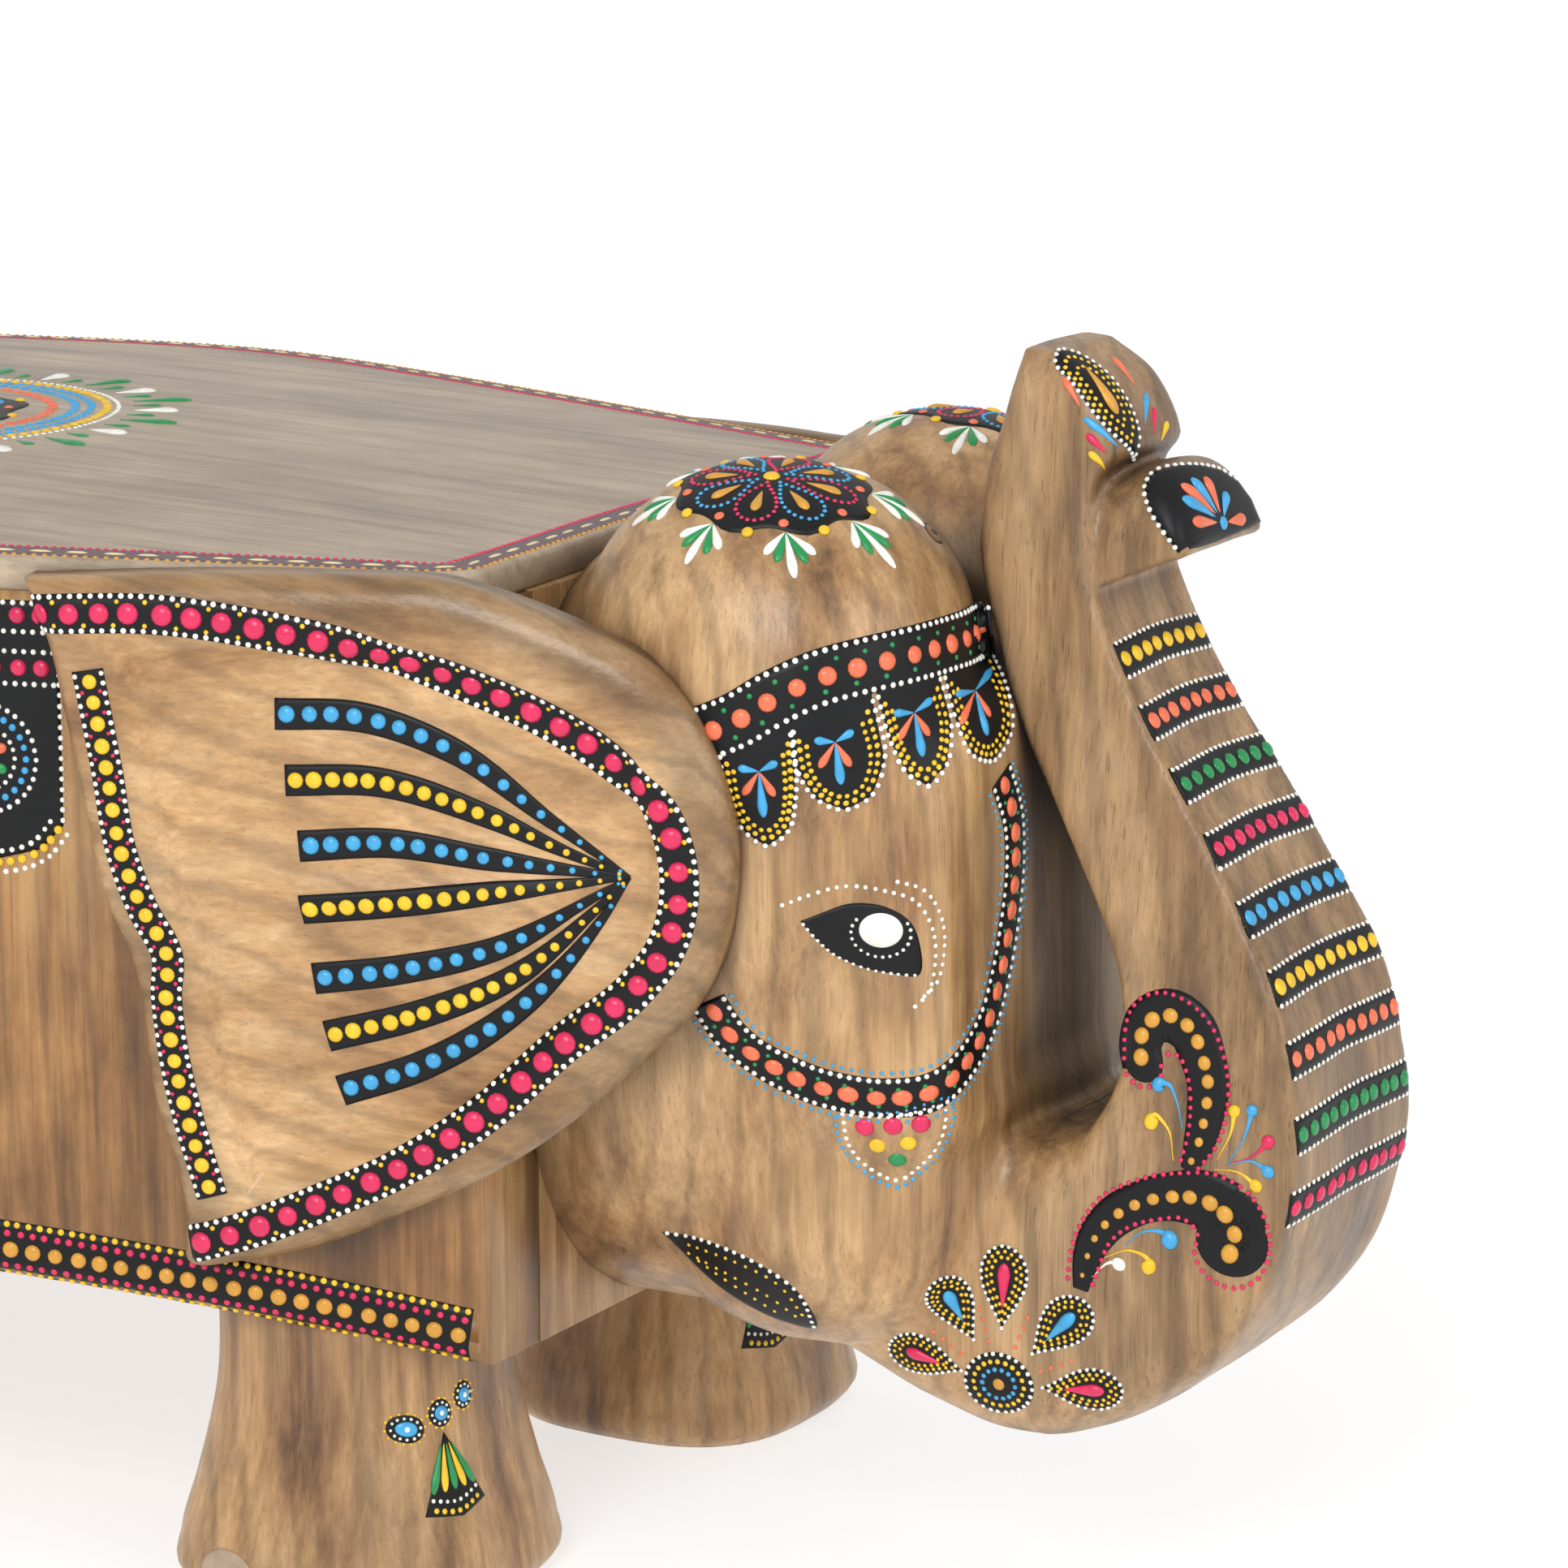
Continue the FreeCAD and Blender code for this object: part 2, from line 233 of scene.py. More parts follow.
plan = dict(width=302.0, taper=0.326, softness=23.0, halfLength=408.0, rim=430.0, crown=9.0, underside=416.0)
arch = dict(end=107.0, middle=142.0)


def halfWidth(x):
    # straight tapers that meet in a soft curve: width - sqrt((taper x)^2 + softness^2)
    return plan["width"] - np.hypot(plan["taper"] * x, plan["softness"])


def archHeight(x):
    # the belly's arc of a circle, from its height at the ends to its height in the middle
    rise, reach = arch["middle"] - arch["end"], plan["halfLength"] + 2
    radius = (reach**2 + rise**2) / (2 * rise)
    return arch["middle"] - radius + np.sqrt(radius**2 - x**2)


def planLoop(inset, corner, count):
    # the seat's outline drawn in by inset, with round corners: an evenly spaced loop from the rear right
    half = plan["halfLength"] - inset
    x = np.linspace(-half + corner, half - corner, 160)
    side = np.c_[x, -(halfWidth(x) - inset)]
    w = float(halfWidth(half)) - inset
    turn = np.linspace(0, math.pi / 2, 10)[1:-1]
    rounded = np.c_[half - corner + corner * np.sin(turn), -w + corner - corner * np.cos(turn)]
    y = np.linspace(-w + corner, w - corner, 60)
    dish = 6 * np.cos(np.clip(y / w, -1, 1) * math.pi / 2) ** 2
    end = np.c_[half - dish, y]
    front = np.concatenate([side, rounded, end, (rounded * [1, -1])[::-1]])
    loop = np.concatenate([front, -front])
    back = np.concatenate([loop, loop[:1]])
    chord = np.concatenate([[0], np.cumsum(np.linalg.norm(np.diff(back, axis=0), axis=1))])
    s = np.linspace(0, chord[-1], count, endpoint=False)
    return np.c_[np.interp(s, chord, back[:, 0]), np.interp(s, chord, back[:, 1])]


def makeSeat():
    # rings of the plan outline: growing from the middle over the crown, round the rim, back under the slab
    loop = planLoop(1.0, 14.0, 420)
    share = np.concatenate([np.linspace(0.02, 1, 34), np.ones(7), np.linspace(1, 0.05, 12)])
    edge = np.linspace(0, math.pi, 9)[1:-1]
    radius = (plan["rim"] - plan["underside"]) / 2
    inset = np.concatenate([np.full(34, 0.0), -2.0 * np.sin(edge), np.zeros(12)])
    crown = plan["rim"] - 0.6 + plan["crown"] * (1 - share[:34] ** 2)
    rim = plan["rim"] - 0.6 - radius * (1 - np.cos(edge))
    z = np.concatenate([crown, rim, np.full(12, plan["underside"])])
    inward = loop / np.linalg.norm(loop, axis=1)[:, None]
    flat = loop[None] * share[:, None, None] - inward[None] * (inset + 2.2)[:, None, None]
    rings = np.concatenate([flat, np.broadcast_to(z[:, None, None], flat.shape[:2] + (1,))], -1)
    return newPiece("seat", *tube(rings), wood["seat"])


def makeStave(side, x0, x1, name):
    # one upright side board: a section with a rounded lower edge, carried along the flank
    x = np.linspace(x0 + 0.2, x1 - 0.2, max(12, int((x1 - x0) / 8)))
    wall, corner, top = 45.0, 12.0, plan["underside"] - 0.2
    turn = np.linspace(0, math.pi / 2, 7)
    low = archHeight(x)[:, None]
    share = np.linspace(0, 1, 24)[None]
    depth = np.concatenate([np.zeros(24), corner * (1 - np.cos(turn)), [wall, wall]])
    y = (halfWidth(x) - 2.2)[:, None] - depth[None]
    upright = top - (top - low - corner) * share
    rounded = low + corner * (1 - np.sin(turn))[None]
    z = np.concatenate([upright, rounded, low, np.full_like(low, top)], 1)
    rings = np.stack([np.broadcast_to(x[:, None], y.shape), side * y, z], -1)
    return newPiece(name, *tube(rings), wood["flank"])


leg = dict(x=327.0, y=125.0, top=140.0, rise=[0, 5, 20, 45, 80, 150], half=[66, 70.5, 70, 63.5, 56, 55])


def makeLeg(xSign, ySign, name):
    # rounded squares rising to the belly's arch, with a soft carved ridge down the front outer corner
    turn = np.linspace(0, 2 * math.pi, 96, endpoint=False)
    z = np.linspace(0, 1, 40) * leg["top"]
    half = smoothAt(leg["rise"], leg["half"], z)[:, None]
    power = 2 / 2.9
    c, s = signedPower(np.cos(turn), power), signedPower(np.sin(turn), power)
    crest = 0.06 * np.exp(-(((turn - math.radians(300)) / 0.08) ** 2))
    dip = 0.025 * np.exp(-(((turn - math.radians(312)) / 0.14) ** 2))
    ridge = 1 + (crest - dip)[None] * ramp(z, 4, 40)[:, None]
    x = leg["x"] + half * c[None] * ridge
    y = -leg["y"] + half * s[None] * ridge
    rings = np.stack([x * xSign, -y * ySign, np.broadcast_to(z[:, None], x.shape)], -1)
    return newPiece(name, *tube(rings), wood["leg"])


head = dict(
    cranium=((418, 0, 262), (178, 133, 158), 2.3),
    temple=((470, 62, 320), (98, 80, 126), 2.2),
    dome=((491, 72, 381), (81, 75, 86), 2.2),
    brow=((505, 0, 286), (84, 116, 108), 4.6),
    cheek=((500, 44, 185), (84, 66, 80), 2.2),
    neckBack=408,
    neckFront=428,
    muzzleFront=598,
    frontFlat=585.0,
)
trunk = dict(
    outer=[(440, 128), (480, 110), (520, 91), (560, 77), (598, 75), (650, 99), (690, 138), (707.5, 184),
           (709.5, 222), (699, 270), (669.5, 323), (634.5, 376), (613, 418), (609, 446), (610, 463),
           (618, 476), (607, 498), (589, 511.5)],
    inner=[(440, 245), (480, 240), (520, 226), (560, 212), (590, 206), (614, 209), (626, 219), (633, 233),
           (635, 250), (627, 282), (601, 332), (576, 381), (562, 426), (561, 452), (562, 468), (565, 480),
           (570, 499), (573, 512.5)],
    half=[72, 72, 69, 66, 64, 62.5, 61, 58, 55, 50, 45, 41, 38.5, 36, 34, 33, 31, 26],
    edge=[3, 3, 3.2, 3.6, 4.2, 6, 12, 18, 20, 22, 22, 22, 20, 14, 10, 7, 6, 5],
)
lip = dict(
    x=[585, 603, 619, 631, 638, 643.5, 647, 650],
    top=[455, 461, 467, 469.5, 467, 461, 453, 443],
    bottom=[420, 420, 426, 431, 434, 436, 437, 438.5],
    half=[32, 34, 35, 35.5, 35.5, 35.5, 35.2, 33],
)


def ellipsoid(centre, radii, power, side=1, rows=48, columns=96):
    # a superellipsoid: powers of sine and cosine over latitude and longitude
    lat = np.linspace(-math.pi / 2, math.pi / 2, rows)[1:-1, None]
    lon = np.linspace(0, 2 * math.pi, columns, endpoint=False)[None]
    p = 2 / power
    x = signedPower(np.cos(lat), p) * signedPower(np.cos(lon), p)
    y = signedPower(np.cos(lat), p) * signedPower(np.sin(lon), p)
    z = signedPower(np.sin(lat), p) * np.ones_like(lon)
    return tube(np.stack([x, y, z], -1) * radii + np.array(centre) * [1, side, 1])


def trunkRings(first, last, count):
    # superellipses across the trunk, between its outer and inner lines; 'edge' is how square each one is
    knots = np.arange(len(trunk["half"]), dtype=float)
    t = np.linspace(first, last, count)
    outer = smoothAt(knots, np.array(trunk["outer"], float), t)
    inner = smoothAt(knots, np.array(trunk["inner"], float), t)
    half = smoothAt(knots, trunk["half"], t)[:, None]
    edge = 2 / smoothAt(knots, trunk["edge"], t)[:, None]
    turn = np.linspace(0, 2 * math.pi, 120, endpoint=False)[None]
    across = signedPower(np.sin(turn), edge) * half
    along = signedPower(np.cos(turn), edge)
    middle, reach = (outer + inner) / 2, (outer - inner) / 2
    x = middle[:, :1] + reach[:, :1] * along
    z = middle[:, 1:] + reach[:, 1:] * along
    return np.stack([x, across, z], -1)


def makeHead():
    shells = [ellipsoid(*head["cranium"])]
    for blob in ("temple", "dome", "cheek"):
        shells += [ellipsoid(*head[blob], side=1), ellipsoid(*head[blob], side=-1)]
    shells += [ellipsoid(*head["brow"]), tube(trunkRings(0, 5, 60))]
    whole = carve("headCarving", shells, voxel=2.6, smoothing=22, uneven=0.5, seed=11)
    shapeFace(whole.data)
    neck = newPiece("neckCarving", [(0, 0, 0)], [])
    neck.data = whole.data.copy()
    cutFlat(cutFlat(neck, head["neckBack"] + 0.2, True), head["neckFront"], False)
    cutFlat(cutFlat(whole, head["neckFront"], True), head["muzzleFront"], False)
    for piece in (neck, whole):
        piece.data.materials.append(wood["carvedHead"])
    return neck, whole


def shapeFace(mesh):
    # flattens the front between the cheeks, then pushes in eye sockets and raises brows: bell-shaped nudges
    p = meshPoints(mesh)
    high = ramp(p[:, 2], 208, 232)
    over = np.maximum(p[:, 0] - head["frontFlat"] + 8, 0)
    p[:, 0] -= high * (over - 8 * (1 - np.exp(-over / 8)))
    for x, z, wide, tall, depth in face["nudges"]:
        bell = np.exp(-(((p[:, 0] - x) / wide) ** 2) - ((p[:, 2] - z) / tall) ** 2)
        p[:, 1] -= np.sign(p[:, 1]) * depth * bell * ramp(np.abs(p[:, 1]), 15, 40)
    movePoints(mesh, p)


face = dict(nudges=[(545, 268, 26, 20, 5.0), (550, 300, 24, 14, -3.0), (520, 238, 26, 22, -3.0),
                    (560, 225, 18, 30, 3.0)])


def lipRings():
    # half superellipses standing on a flat underside, carried forwards
    knots = np.arange(len(lip["x"]), dtype=float)
    t = np.linspace(0, knots[-1], 60)
    x, top = smoothAt(knots, lip["x"], t)[:, None], smoothAt(knots, lip["top"], t)[:, None]
    bottom, half = smoothAt(knots, lip["bottom"], t)[:, None], smoothAt(knots, lip["half"], t)[:, None]
    turn = np.linspace(0, math.pi, 48)[None]
    y = half * np.concatenate([signedPower(np.cos(turn), 2 / 3), np.linspace(-1, 1, 26)[None, 1:-1]], 1)
    upper = bottom + (top - bottom) * signedPower(np.sin(turn), 2 / 3)
    z = np.concatenate([upper, np.repeat(bottom, 24, 1)], 1)
    return np.stack([np.broadcast_to(x, y.shape), y, z], -1)


def makeTrunk():
    shells = [tube(trunkRings(3.7, 17, 260)), tube(lipRings())]
    piece = carve("trunkCarving", shells, voxel=1.9, smoothing=2, uneven=0.5, seed=11)
    cutFlat(piece, head["muzzleFront"], True, below=280)
    piece.data.materials.append(wood["carvedTrunk"])
    return piece


ear = dict(
    angle=math.radians(17.65), footX=240.0, footY=219.2,
    thickness=21.5, rim=10.5, recess=6.0, ridge=4.0, bulge=2.0,
    outline=[(0, 424), (60, 428), (120, 430), (172, 429), (202, 421), (228, 411), (250, 400), (268, 382),
             (279, 360), (284, 335), (284, 313), (277, 282), (266, 262), (250, 246), (218, 216), (185, 193),
             (151, 176), (118, 161), (86, 152), (61, 150), (60, 172), (57, 190), (51, 208), (47, 228),
             (45, 250), (40, 275), (31, 295), (25, 320), (20, 346), (15, 372), (10, 396)],
)


def earFrame(side):
    along = np.array([math.cos(ear["angle"]), -side * math.sin(ear["angle"]), 0])
    out = np.array([math.sin(ear["angle"]), side * math.cos(ear["angle"]), 0])
    foot = np.array([ear["footX"], side * ear["footY"], 0])
    return foot, along, out


def edgeGap(points, outline):
    # distance from each point of the grid to the nearest side of the outline
    a, b = outline, np.roll(outline, -1, 0)
    step = b - a
    gaps = []
    for row in points:
        share = ((row[:, None] - a) * step).sum(-1) / (step**2).sum(-1)
        foot = a + np.clip(share, 0, 1)[..., None] * step
        gaps.append(np.linalg.norm(row[:, None] - foot, axis=-1).min(1))
    return np.array(gaps)


def makeEar(side, name):
    # rings of the outline shrinking to a middle point: a rolled rim, a groove inside it and a soft panel
    outline = smoothPath(ear["outline"] + ear["outline"][:1], 361)[:-1]
    middle = np.array([165.0, 305.0])
    share = 1 - np.linspace(0, 0.985, 70) ** 1.35
    flat = middle + (outline - middle)[None] * share[:, None, None]
    gap = edgeGap(flat, outline)
    u, v = flat[..., 0], flat[..., 1]
    rim = ear["rim"] * np.sqrt(np.clip(1 - (1 - np.clip(gap / 13, 0, 1)) ** 2, 0, 1))
    recess = ear["recess"] * ramp(gap, 26, 36) * ramp(u, 20, 70)
    ridge = ear["ridge"] * np.exp(-(((v - 296 - 0.06 * u) / 8) ** 2))
    ridge = ridge * ramp(u, 40, 120) * (1 - ramp(u, 200, 255))
    bulge = ear["bulge"] * ramp(gap, 35, 90)
    height = ear["thickness"] - ear["rim"] + rim - recess + (ridge + bulge) * ramp(gap, 30, 60) * 0.8
    foot, along, out = earFrame(side)
    up = np.array([0, 0, 1])
    front = foot + flat[..., :1] * along + flat[..., 1:] * up + height[..., None] * out
    back = (foot + outline[:, :1] * along + outline[:, 1:] * up)[None]
    inner = (foot + middle[0] * along + middle[1] * up) * 0.98 + back * 0.02
    piece = newPiece(name, *tube(np.concatenate([inner, back, front])), wood["ear"])
    # painted shade: the ear darkens towards its rolled rim, kept as the 'edge' attribute
    edge = (1 - ramp(gap, 11, 30)) * ramp(u, 15, 60)
    shade = np.concatenate([np.ones(2 * len(outline)), edge.ravel(), [1, 0]])
    piece.data.attributes.new("edge", "FLOAT", "POINT").data.foreach_set("value", shade)
    return piece


rump = dict(depth=[0, 12, 24, 33, 37], across=[151, 144, 126, 98, 55], up=[151, 145, 132, 112, 76],
            height=262.0)


def makeRump():
    # rounded squares that shrink backwards: the haunches behind the seat
    t = np.linspace(0, 4, 40)
    knots = np.arange(5.0)
    across, up = smoothAt(knots, rump["across"], t)[:, None], smoothAt(knots, rump["up"], t)[:, None]
    turn = np.linspace(0, 2 * math.pi, 160, endpoint=False)[None]
    y = across * signedPower(np.cos(turn), 0.8)
    z = rump["height"] + up * signedPower(np.sin(turn), 0.8)
    x = np.broadcast_to(-plan["halfLength"] - 0.2 - smoothAt(knots, rump["depth"], t)[:, None], y.shape)
    return newPiece("rump", *tube(np.stack([x, y, z], -1)), wood["carvedHead"])


tail = dict(
    z=[366, 330, 260, 215, 190, 170, 150],
    x=[-441, -451, -454, -455, -455, -454.5, -453],
    radius=[8, 10.5, 9, 8.5, 12.5, 12, 4],
)


def makeTail():
    # circles along the tail, which thickens to a pointed brush with carved strands
    knots = np.arange(7.0)
    t = np.linspace(0, 6, 120)
    turn = np.linspace(0, 2 * math.pi, 64, endpoint=False)[None]
    strands = 1 + 0.07 * np.sin(turn * 9) * ramp(t, 3, 4)[:, None]
    radius = smoothAt(knots, tail["radius"], t)[:, None] * strands
    x = smoothAt(knots, tail["x"], t)[:, None] + radius * np.cos(turn)
    y = radius * np.sin(turn)
    z = np.broadcast_to(smoothAt(knots, tail["z"], t)[:, None], y.shape)
    return newPiece("tailCarving", *tube(np.stack([x, y, z], -1)), wood["carvedHead"])


def colour(rgb):
    # an sRGB colour from 0 to 255 as linear RGBA
    c = np.array(rgb, float) / 255
    linear = np.where(c <= 0.04045, c / 12.92, ((c + 0.055) / 1.055) ** 2.4)
    return (*linear.tolist(), 1.0)


def nodeTools(material):
    nodes, links = material.node_tree.nodes, material.node_tree.links

    def add(kind, inputs=None, **settings):
        node = nodes.new(kind)
        for key, value in settings.items():
            setattr(node, key, value)
        for key, value in (inputs or {}).items():
            if isinstance(value, bpy.types.NodeSocket):
                links.new(value, node.inputs[key])
            else:
                node.inputs[key].default_value = value
        return node

    return nodes, links, add


def colourRamp(node, stops):
    elements = node.color_ramp.elements
    while len(elements) < len(stops):
        elements.new(0.5)
    for element, (place, rgb) in zip(elements, stops):
        element.position = place
        element.color = colour(rgb)


def makeWood(name, grain, look):
    # streaks, growth lines, broad patches, stains and pores, all stretched along the grain, over gouge marks;
    # and painted shade in crevices, on the ear's rim and in the face's gap
    material = bpy.data.materials.new(name)
    material.use_nodes = True
    nodes, links, add = nodeTools(material)
    shader = nodes["Principled BSDF"]
    place = add("ShaderNodeTexCoord").outputs["Object"]

    def stretched(fine, along, offset):
        scale = [fine, fine, fine]
        scale["XYZ".index(grain)] = along
        return add("ShaderNodeMapping", {"Vector": place, "Scale": scale, "Location": offset}).outputs[0]

    bend = add("ShaderNodeTexNoise", {"Vector": stretched(5, 2.5, (3, 1, 2)), "Scale": 1.0, "Detail": 2.0})
    bent = add("ShaderNodeVectorMath", {0: bend.outputs["Color"], 1: (0.5, 0.5, 0.5)}, operation="SUBTRACT")
    shift = add("ShaderNodeVectorMath", {0: bent.outputs[0], "Scale": look["waviness"]}, operation="SCALE")

    def warped(fine, along, offset):
        inputs = {0: stretched(fine, along, offset), 1: shift.outputs[0]}
        return add("ShaderNodeVectorMath", inputs, operation="ADD").outputs[0]

    def noise(vector, detail, roughness=0.6):
        inputs = {"Vector": vector, "Scale": 1.0, "Detail": detail, "Roughness": roughness}
        return add("ShaderNodeTexNoise", inputs).outputs[0]

    def remap(value, low, high, first, last):
        inputs = {"Value": value, "From Min": low, "From Max": high, "To Min": first, "To Max": last}
        return add("ShaderNodeMapRange", inputs).outputs[0]

    def times(a, b):
        return add("ShaderNodeMath", {0: a, 1: b}, operation="MULTIPLY").outputs[0]

    def dimmed(tint, light):
        return add("ShaderNodeVectorMath", {0: tint, "Scale": light}, operation="SCALE").outputs[0]

    def sheltered(distance):
        return add("ShaderNodeAmbientOcclusion", {"Distance": distance}, samples=8).outputs["AO"]

    def blend(factor, a, b):
        return add("ShaderNodeMix", {"Factor": factor, "A": a, "B": b}, data_type="RGBA").outputs["Result"]

    streak = noise(warped(34, 2.6, (0, 0, 0)), 9.0, 0.68)
    broad = noise(warped(11, 5.5, (7, 3, 1)), 7.0, 0.64)
    fine = noise(warped(420, 9, (1, 5, 9)), 3.0, 0.7)
    pores = noise(warped(900, 16, (2, 8, 4)), 2.0)
    mottle = noise(warped(26, 14, (4, 4, 8)), 6.0, 0.64)
    rings = {"Vector": warped(30, 2.6, (5, 2, 6)), "Scale": 1.0, "Distortion": 5.0}
    rings.update({"Detail": 3.0, "Detail Scale": 1.4})
    lines = add("ShaderNodeTexWave", rings, bands_direction="DIAGONAL").outputs["Fac"]
    strokes = warped(look["gouge"], look["gouge"] * 0.5, (9, 1, 3))
    cells = {"Vector": strokes, "Scale": 1.0, "Smoothness": 0.35}
    gouges = add("ShaderNodeTexVoronoi", cells, feature="SMOOTH_F1").outputs["Distance"]
    mixed = add("ShaderNodeMix", {"Factor": 0.5, "A": streak, "B": broad}, data_type="FLOAT").outputs[0]
    tone = add("ShaderNodeValToRGB", {"Fac": mixed})
    colourRamp(tone, ramps[look["tones"]])
    poreMask = remap(pores, 0.60, 0.68, 1.0, look["pore"])
    light = times(remap(fine, 0.35, 0.7, 0.84, 1.1), poreMask)
    patches, growth = remap(mottle, 0.32, 0.68, 0.83, 1.13), remap(lines, 0.0, 0.35, look["line"], 1.03)
    light = times(light, times(patches, growth))
    light = times(light, remap(gouges, 0.1, 0.8, 1.05, 0.9))
    toned = dimmed(tone.outputs[0], light)
    stain = remap(noise(warped(19, 5, (6, 6, 2)), 5.0, 0.65), 0.56, 0.74, 0.0, look["stain"])
    toned = blend(stain, toned, colour(look["stainAndShadeTone"]))
    # painted shade on the ear's rolled rim, read from its 'edge' attribute
    if "edge" in look:
        edge = add("ShaderNodeAttribute", attribute_name="edge").outputs["Fac"]
        toned = dimmed(toned, remap(edge, 0.0, 1.0, 1.0, look["edge"]))
    # painted shade: where ambient occlusion finds a crevice, the colour is drawn towards the dark tone, which
    # also serves the stains
    if look["paintedCreviceShade"]:
        creviceShadeMix = remap(sheltered(0.03), 0.25, 0.85, 1 - look["paintedCreviceShade"], 1.0)
        toned = blend(creviceShadeMix, colour(look["stainAndShadeTone"]), toned)
    polish = remap(broad, 0.3, 0.7, *look["rough"])
    shader.inputs["Specular IOR Level"].default_value = 0.5
    shader.inputs["Coat Weight"].default_value = look["coat"]
    if "paintedGapShade" in look:  # painted shade: ambient occlusion darkens the gap between face and trunk, and makes it rougher with less coat there
        shade = sheltered(0.14)
        toned = dimmed(toned, remap(shade, 0.12, 0.5, look["paintedGapShade"], 1.0))
        matt = remap(shade, 0.15, 0.6, 0.95, 0.0)
        polish = add("ShaderNodeMath", {0: polish, 1: matt}, operation="MAXIMUM").outputs[0]
        links.new(remap(shade, 0.15, 0.6, 0.0, look["coat"]), shader.inputs["Coat Weight"])
    links.new(toned, shader.inputs["Base Color"])
    links.new(polish, shader.inputs["Roughness"])
    relief = add("ShaderNodeMath", {0: fine, 1: poreMask}, operation="ADD").outputs[0]
    carved = add("ShaderNodeBump", {"Height": gouges, "Strength": 0.8, "Distance": look["carved"]})
    bump = {"Height": relief, "Strength": 0.4, "Distance": 0.0007, "Normal": carved.outputs[0]}
    links.new(add("ShaderNodeBump", bump).outputs[0], shader.inputs["Normal"])
    shader.inputs["Coat Roughness"].default_value = 0.22
    return material


# colour ramps: (place, sRGB colour), from the dark streaks through the light wood to the darker late wood
ramps = dict(
    honey=[(0.36, (90, 60, 34)), (0.43, (144, 106, 67)), (0.50, (177, 138, 92)), (0.57, (198, 160, 113)),
           (0.66, (144, 106, 66))],
    brown=[(0.36, (88, 62, 39)), (0.43, (127, 96, 62)), (0.50, (157, 122, 81)), (0.57, (179, 144, 102)),
           (0.66, (129, 97, 63))],
    pale=[(0.35, (124, 84, 46)), (0.42, (166, 123, 76)), (0.50, (192, 150, 101)), (0.57, (208, 170, 123)),
          (0.68, (160, 117, 72))],
    grey=[(0.30, (132, 113, 92)), (0.42, (158, 139, 116)), (0.52, (177, 158, 134)), (0.62, (187, 169, 146)),
          (0.74, (158, 139, 116))],
    amber=[(0.36, (84, 54, 26)), (0.43, (134, 92, 48)), (0.50, (168, 122, 72)), (0.57, (192, 150, 98)),
           (0.66, (128, 88, 46))],
)
# the first setting of plain is how strongly ambient occlusion darkens crevices: painted shade, none on the
# legs
plain = dict(paintedCreviceShade=1.0, gouge=30, carved=0.003, line=0.78, stain=0.5, coat=0.18)
# the head and the trunk also take painted shade in the gap between face and trunk
looks = dict(
    carvedHead=dict(plain, tones="honey", stainAndShadeTone=(84, 56, 34), pore=0.8, rough=(0.3, 0.48), waviness=0.55,
                    paintedGapShade=0.22),
    carvedTrunk=dict(plain, tones="brown", stainAndShadeTone=(76, 54, 36), pore=0.66, rough=(0.34, 0.5), waviness=0.4,
                     carved=0.001, paintedGapShade=0.22),
    flank=dict(plain, tones="amber", stainAndShadeTone=(80, 54, 32), pore=0.78, rough=(0.34, 0.5), waviness=0.5,
               paintedCreviceShade=0.4, stain=0.65, carved=0.001),
    leg=dict(plain, tones="honey", stainAndShadeTone=(92, 62, 40), pore=0.8, rough=(0.32, 0.5), waviness=0.55, paintedCreviceShade=0),
    ear=dict(plain, tones="pale", stainAndShadeTone=(104, 70, 42), pore=0.84, rough=(0.3, 0.46), waviness=0.45,
             edge=0.55, paintedCreviceShade=0.8, carved=0.0014, stain=0.3),
    seat=dict(plain, tones="grey", stainAndShadeTone=(110, 90, 72), pore=0.86, rough=(0.42, 0.55), waviness=0.3,
              paintedCreviceShade=0.7, carved=0.0003, line=0.93, stain=0.25),
)
looks["dowel"] = looks["carvedTrunk"]
wood = {}
for part, look in looks.items():
    grain = "X" if part in ("ear", "seat") else "Z"  # lengthwise in the ears and the seat, else upright
    wood[part] = makeWood(part + "Wood", grain, look)
print("wood ready")


staveEnds = dict(rear=(-408.0, -137.0), middle=(-137.0, 137.0), front=(137.0, 408.0))
sides = dict(right=nearSide, left=farSide)

finishPiece(makeSeat(), "seat_wood", "seat_top")
for sideName, sign in sides.items():
    for part, (x0, x1) in staveEnds.items():
        stave = makeStave(sign, x0, x1, f"{sideName}Flank_{part}")
        finishPiece(stave, "mango_wood", f"{sideName}_flank_{part}_stave")
    for end, xSign in dict(front=1, rear=-1).items():
        post = makeLeg(xSign, sign, f"{end}_{sideName}_legCarving")
        finishPiece(post, "mango_wood", f"{end}_{sideName}_leg")
    finishPiece(makeEar(sign, f"{sideName}EarCarving"), "ear_wood", f"{sideName}_ear")
neck, headCarving = makeHead()
finishPiece(neck, "mango_wood", "neck_block")
finishPiece(headCarving, "mango_wood", "head_block")
finishPiece(makeTrunk(), "mango_wood", "trunk_block")
finishPiece(makeRump(), "mango_wood", "rump_block")
finishPiece(makeTail(), "mango_wood", "tail")
for node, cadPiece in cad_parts.items():
    if not cadPiece.hide_render:
        part = "dowel" if "dowel" in node or "plug" in node else "flank"
        cadPiece.data.materials.clear()
        # painted light: the chest board, shaded by the ear and the leg, takes the leg's lighter look without
        # crevice shade
        cadPiece.data.materials.append(wood["leg" if node == "chest_board" else part])
print("carving in place")


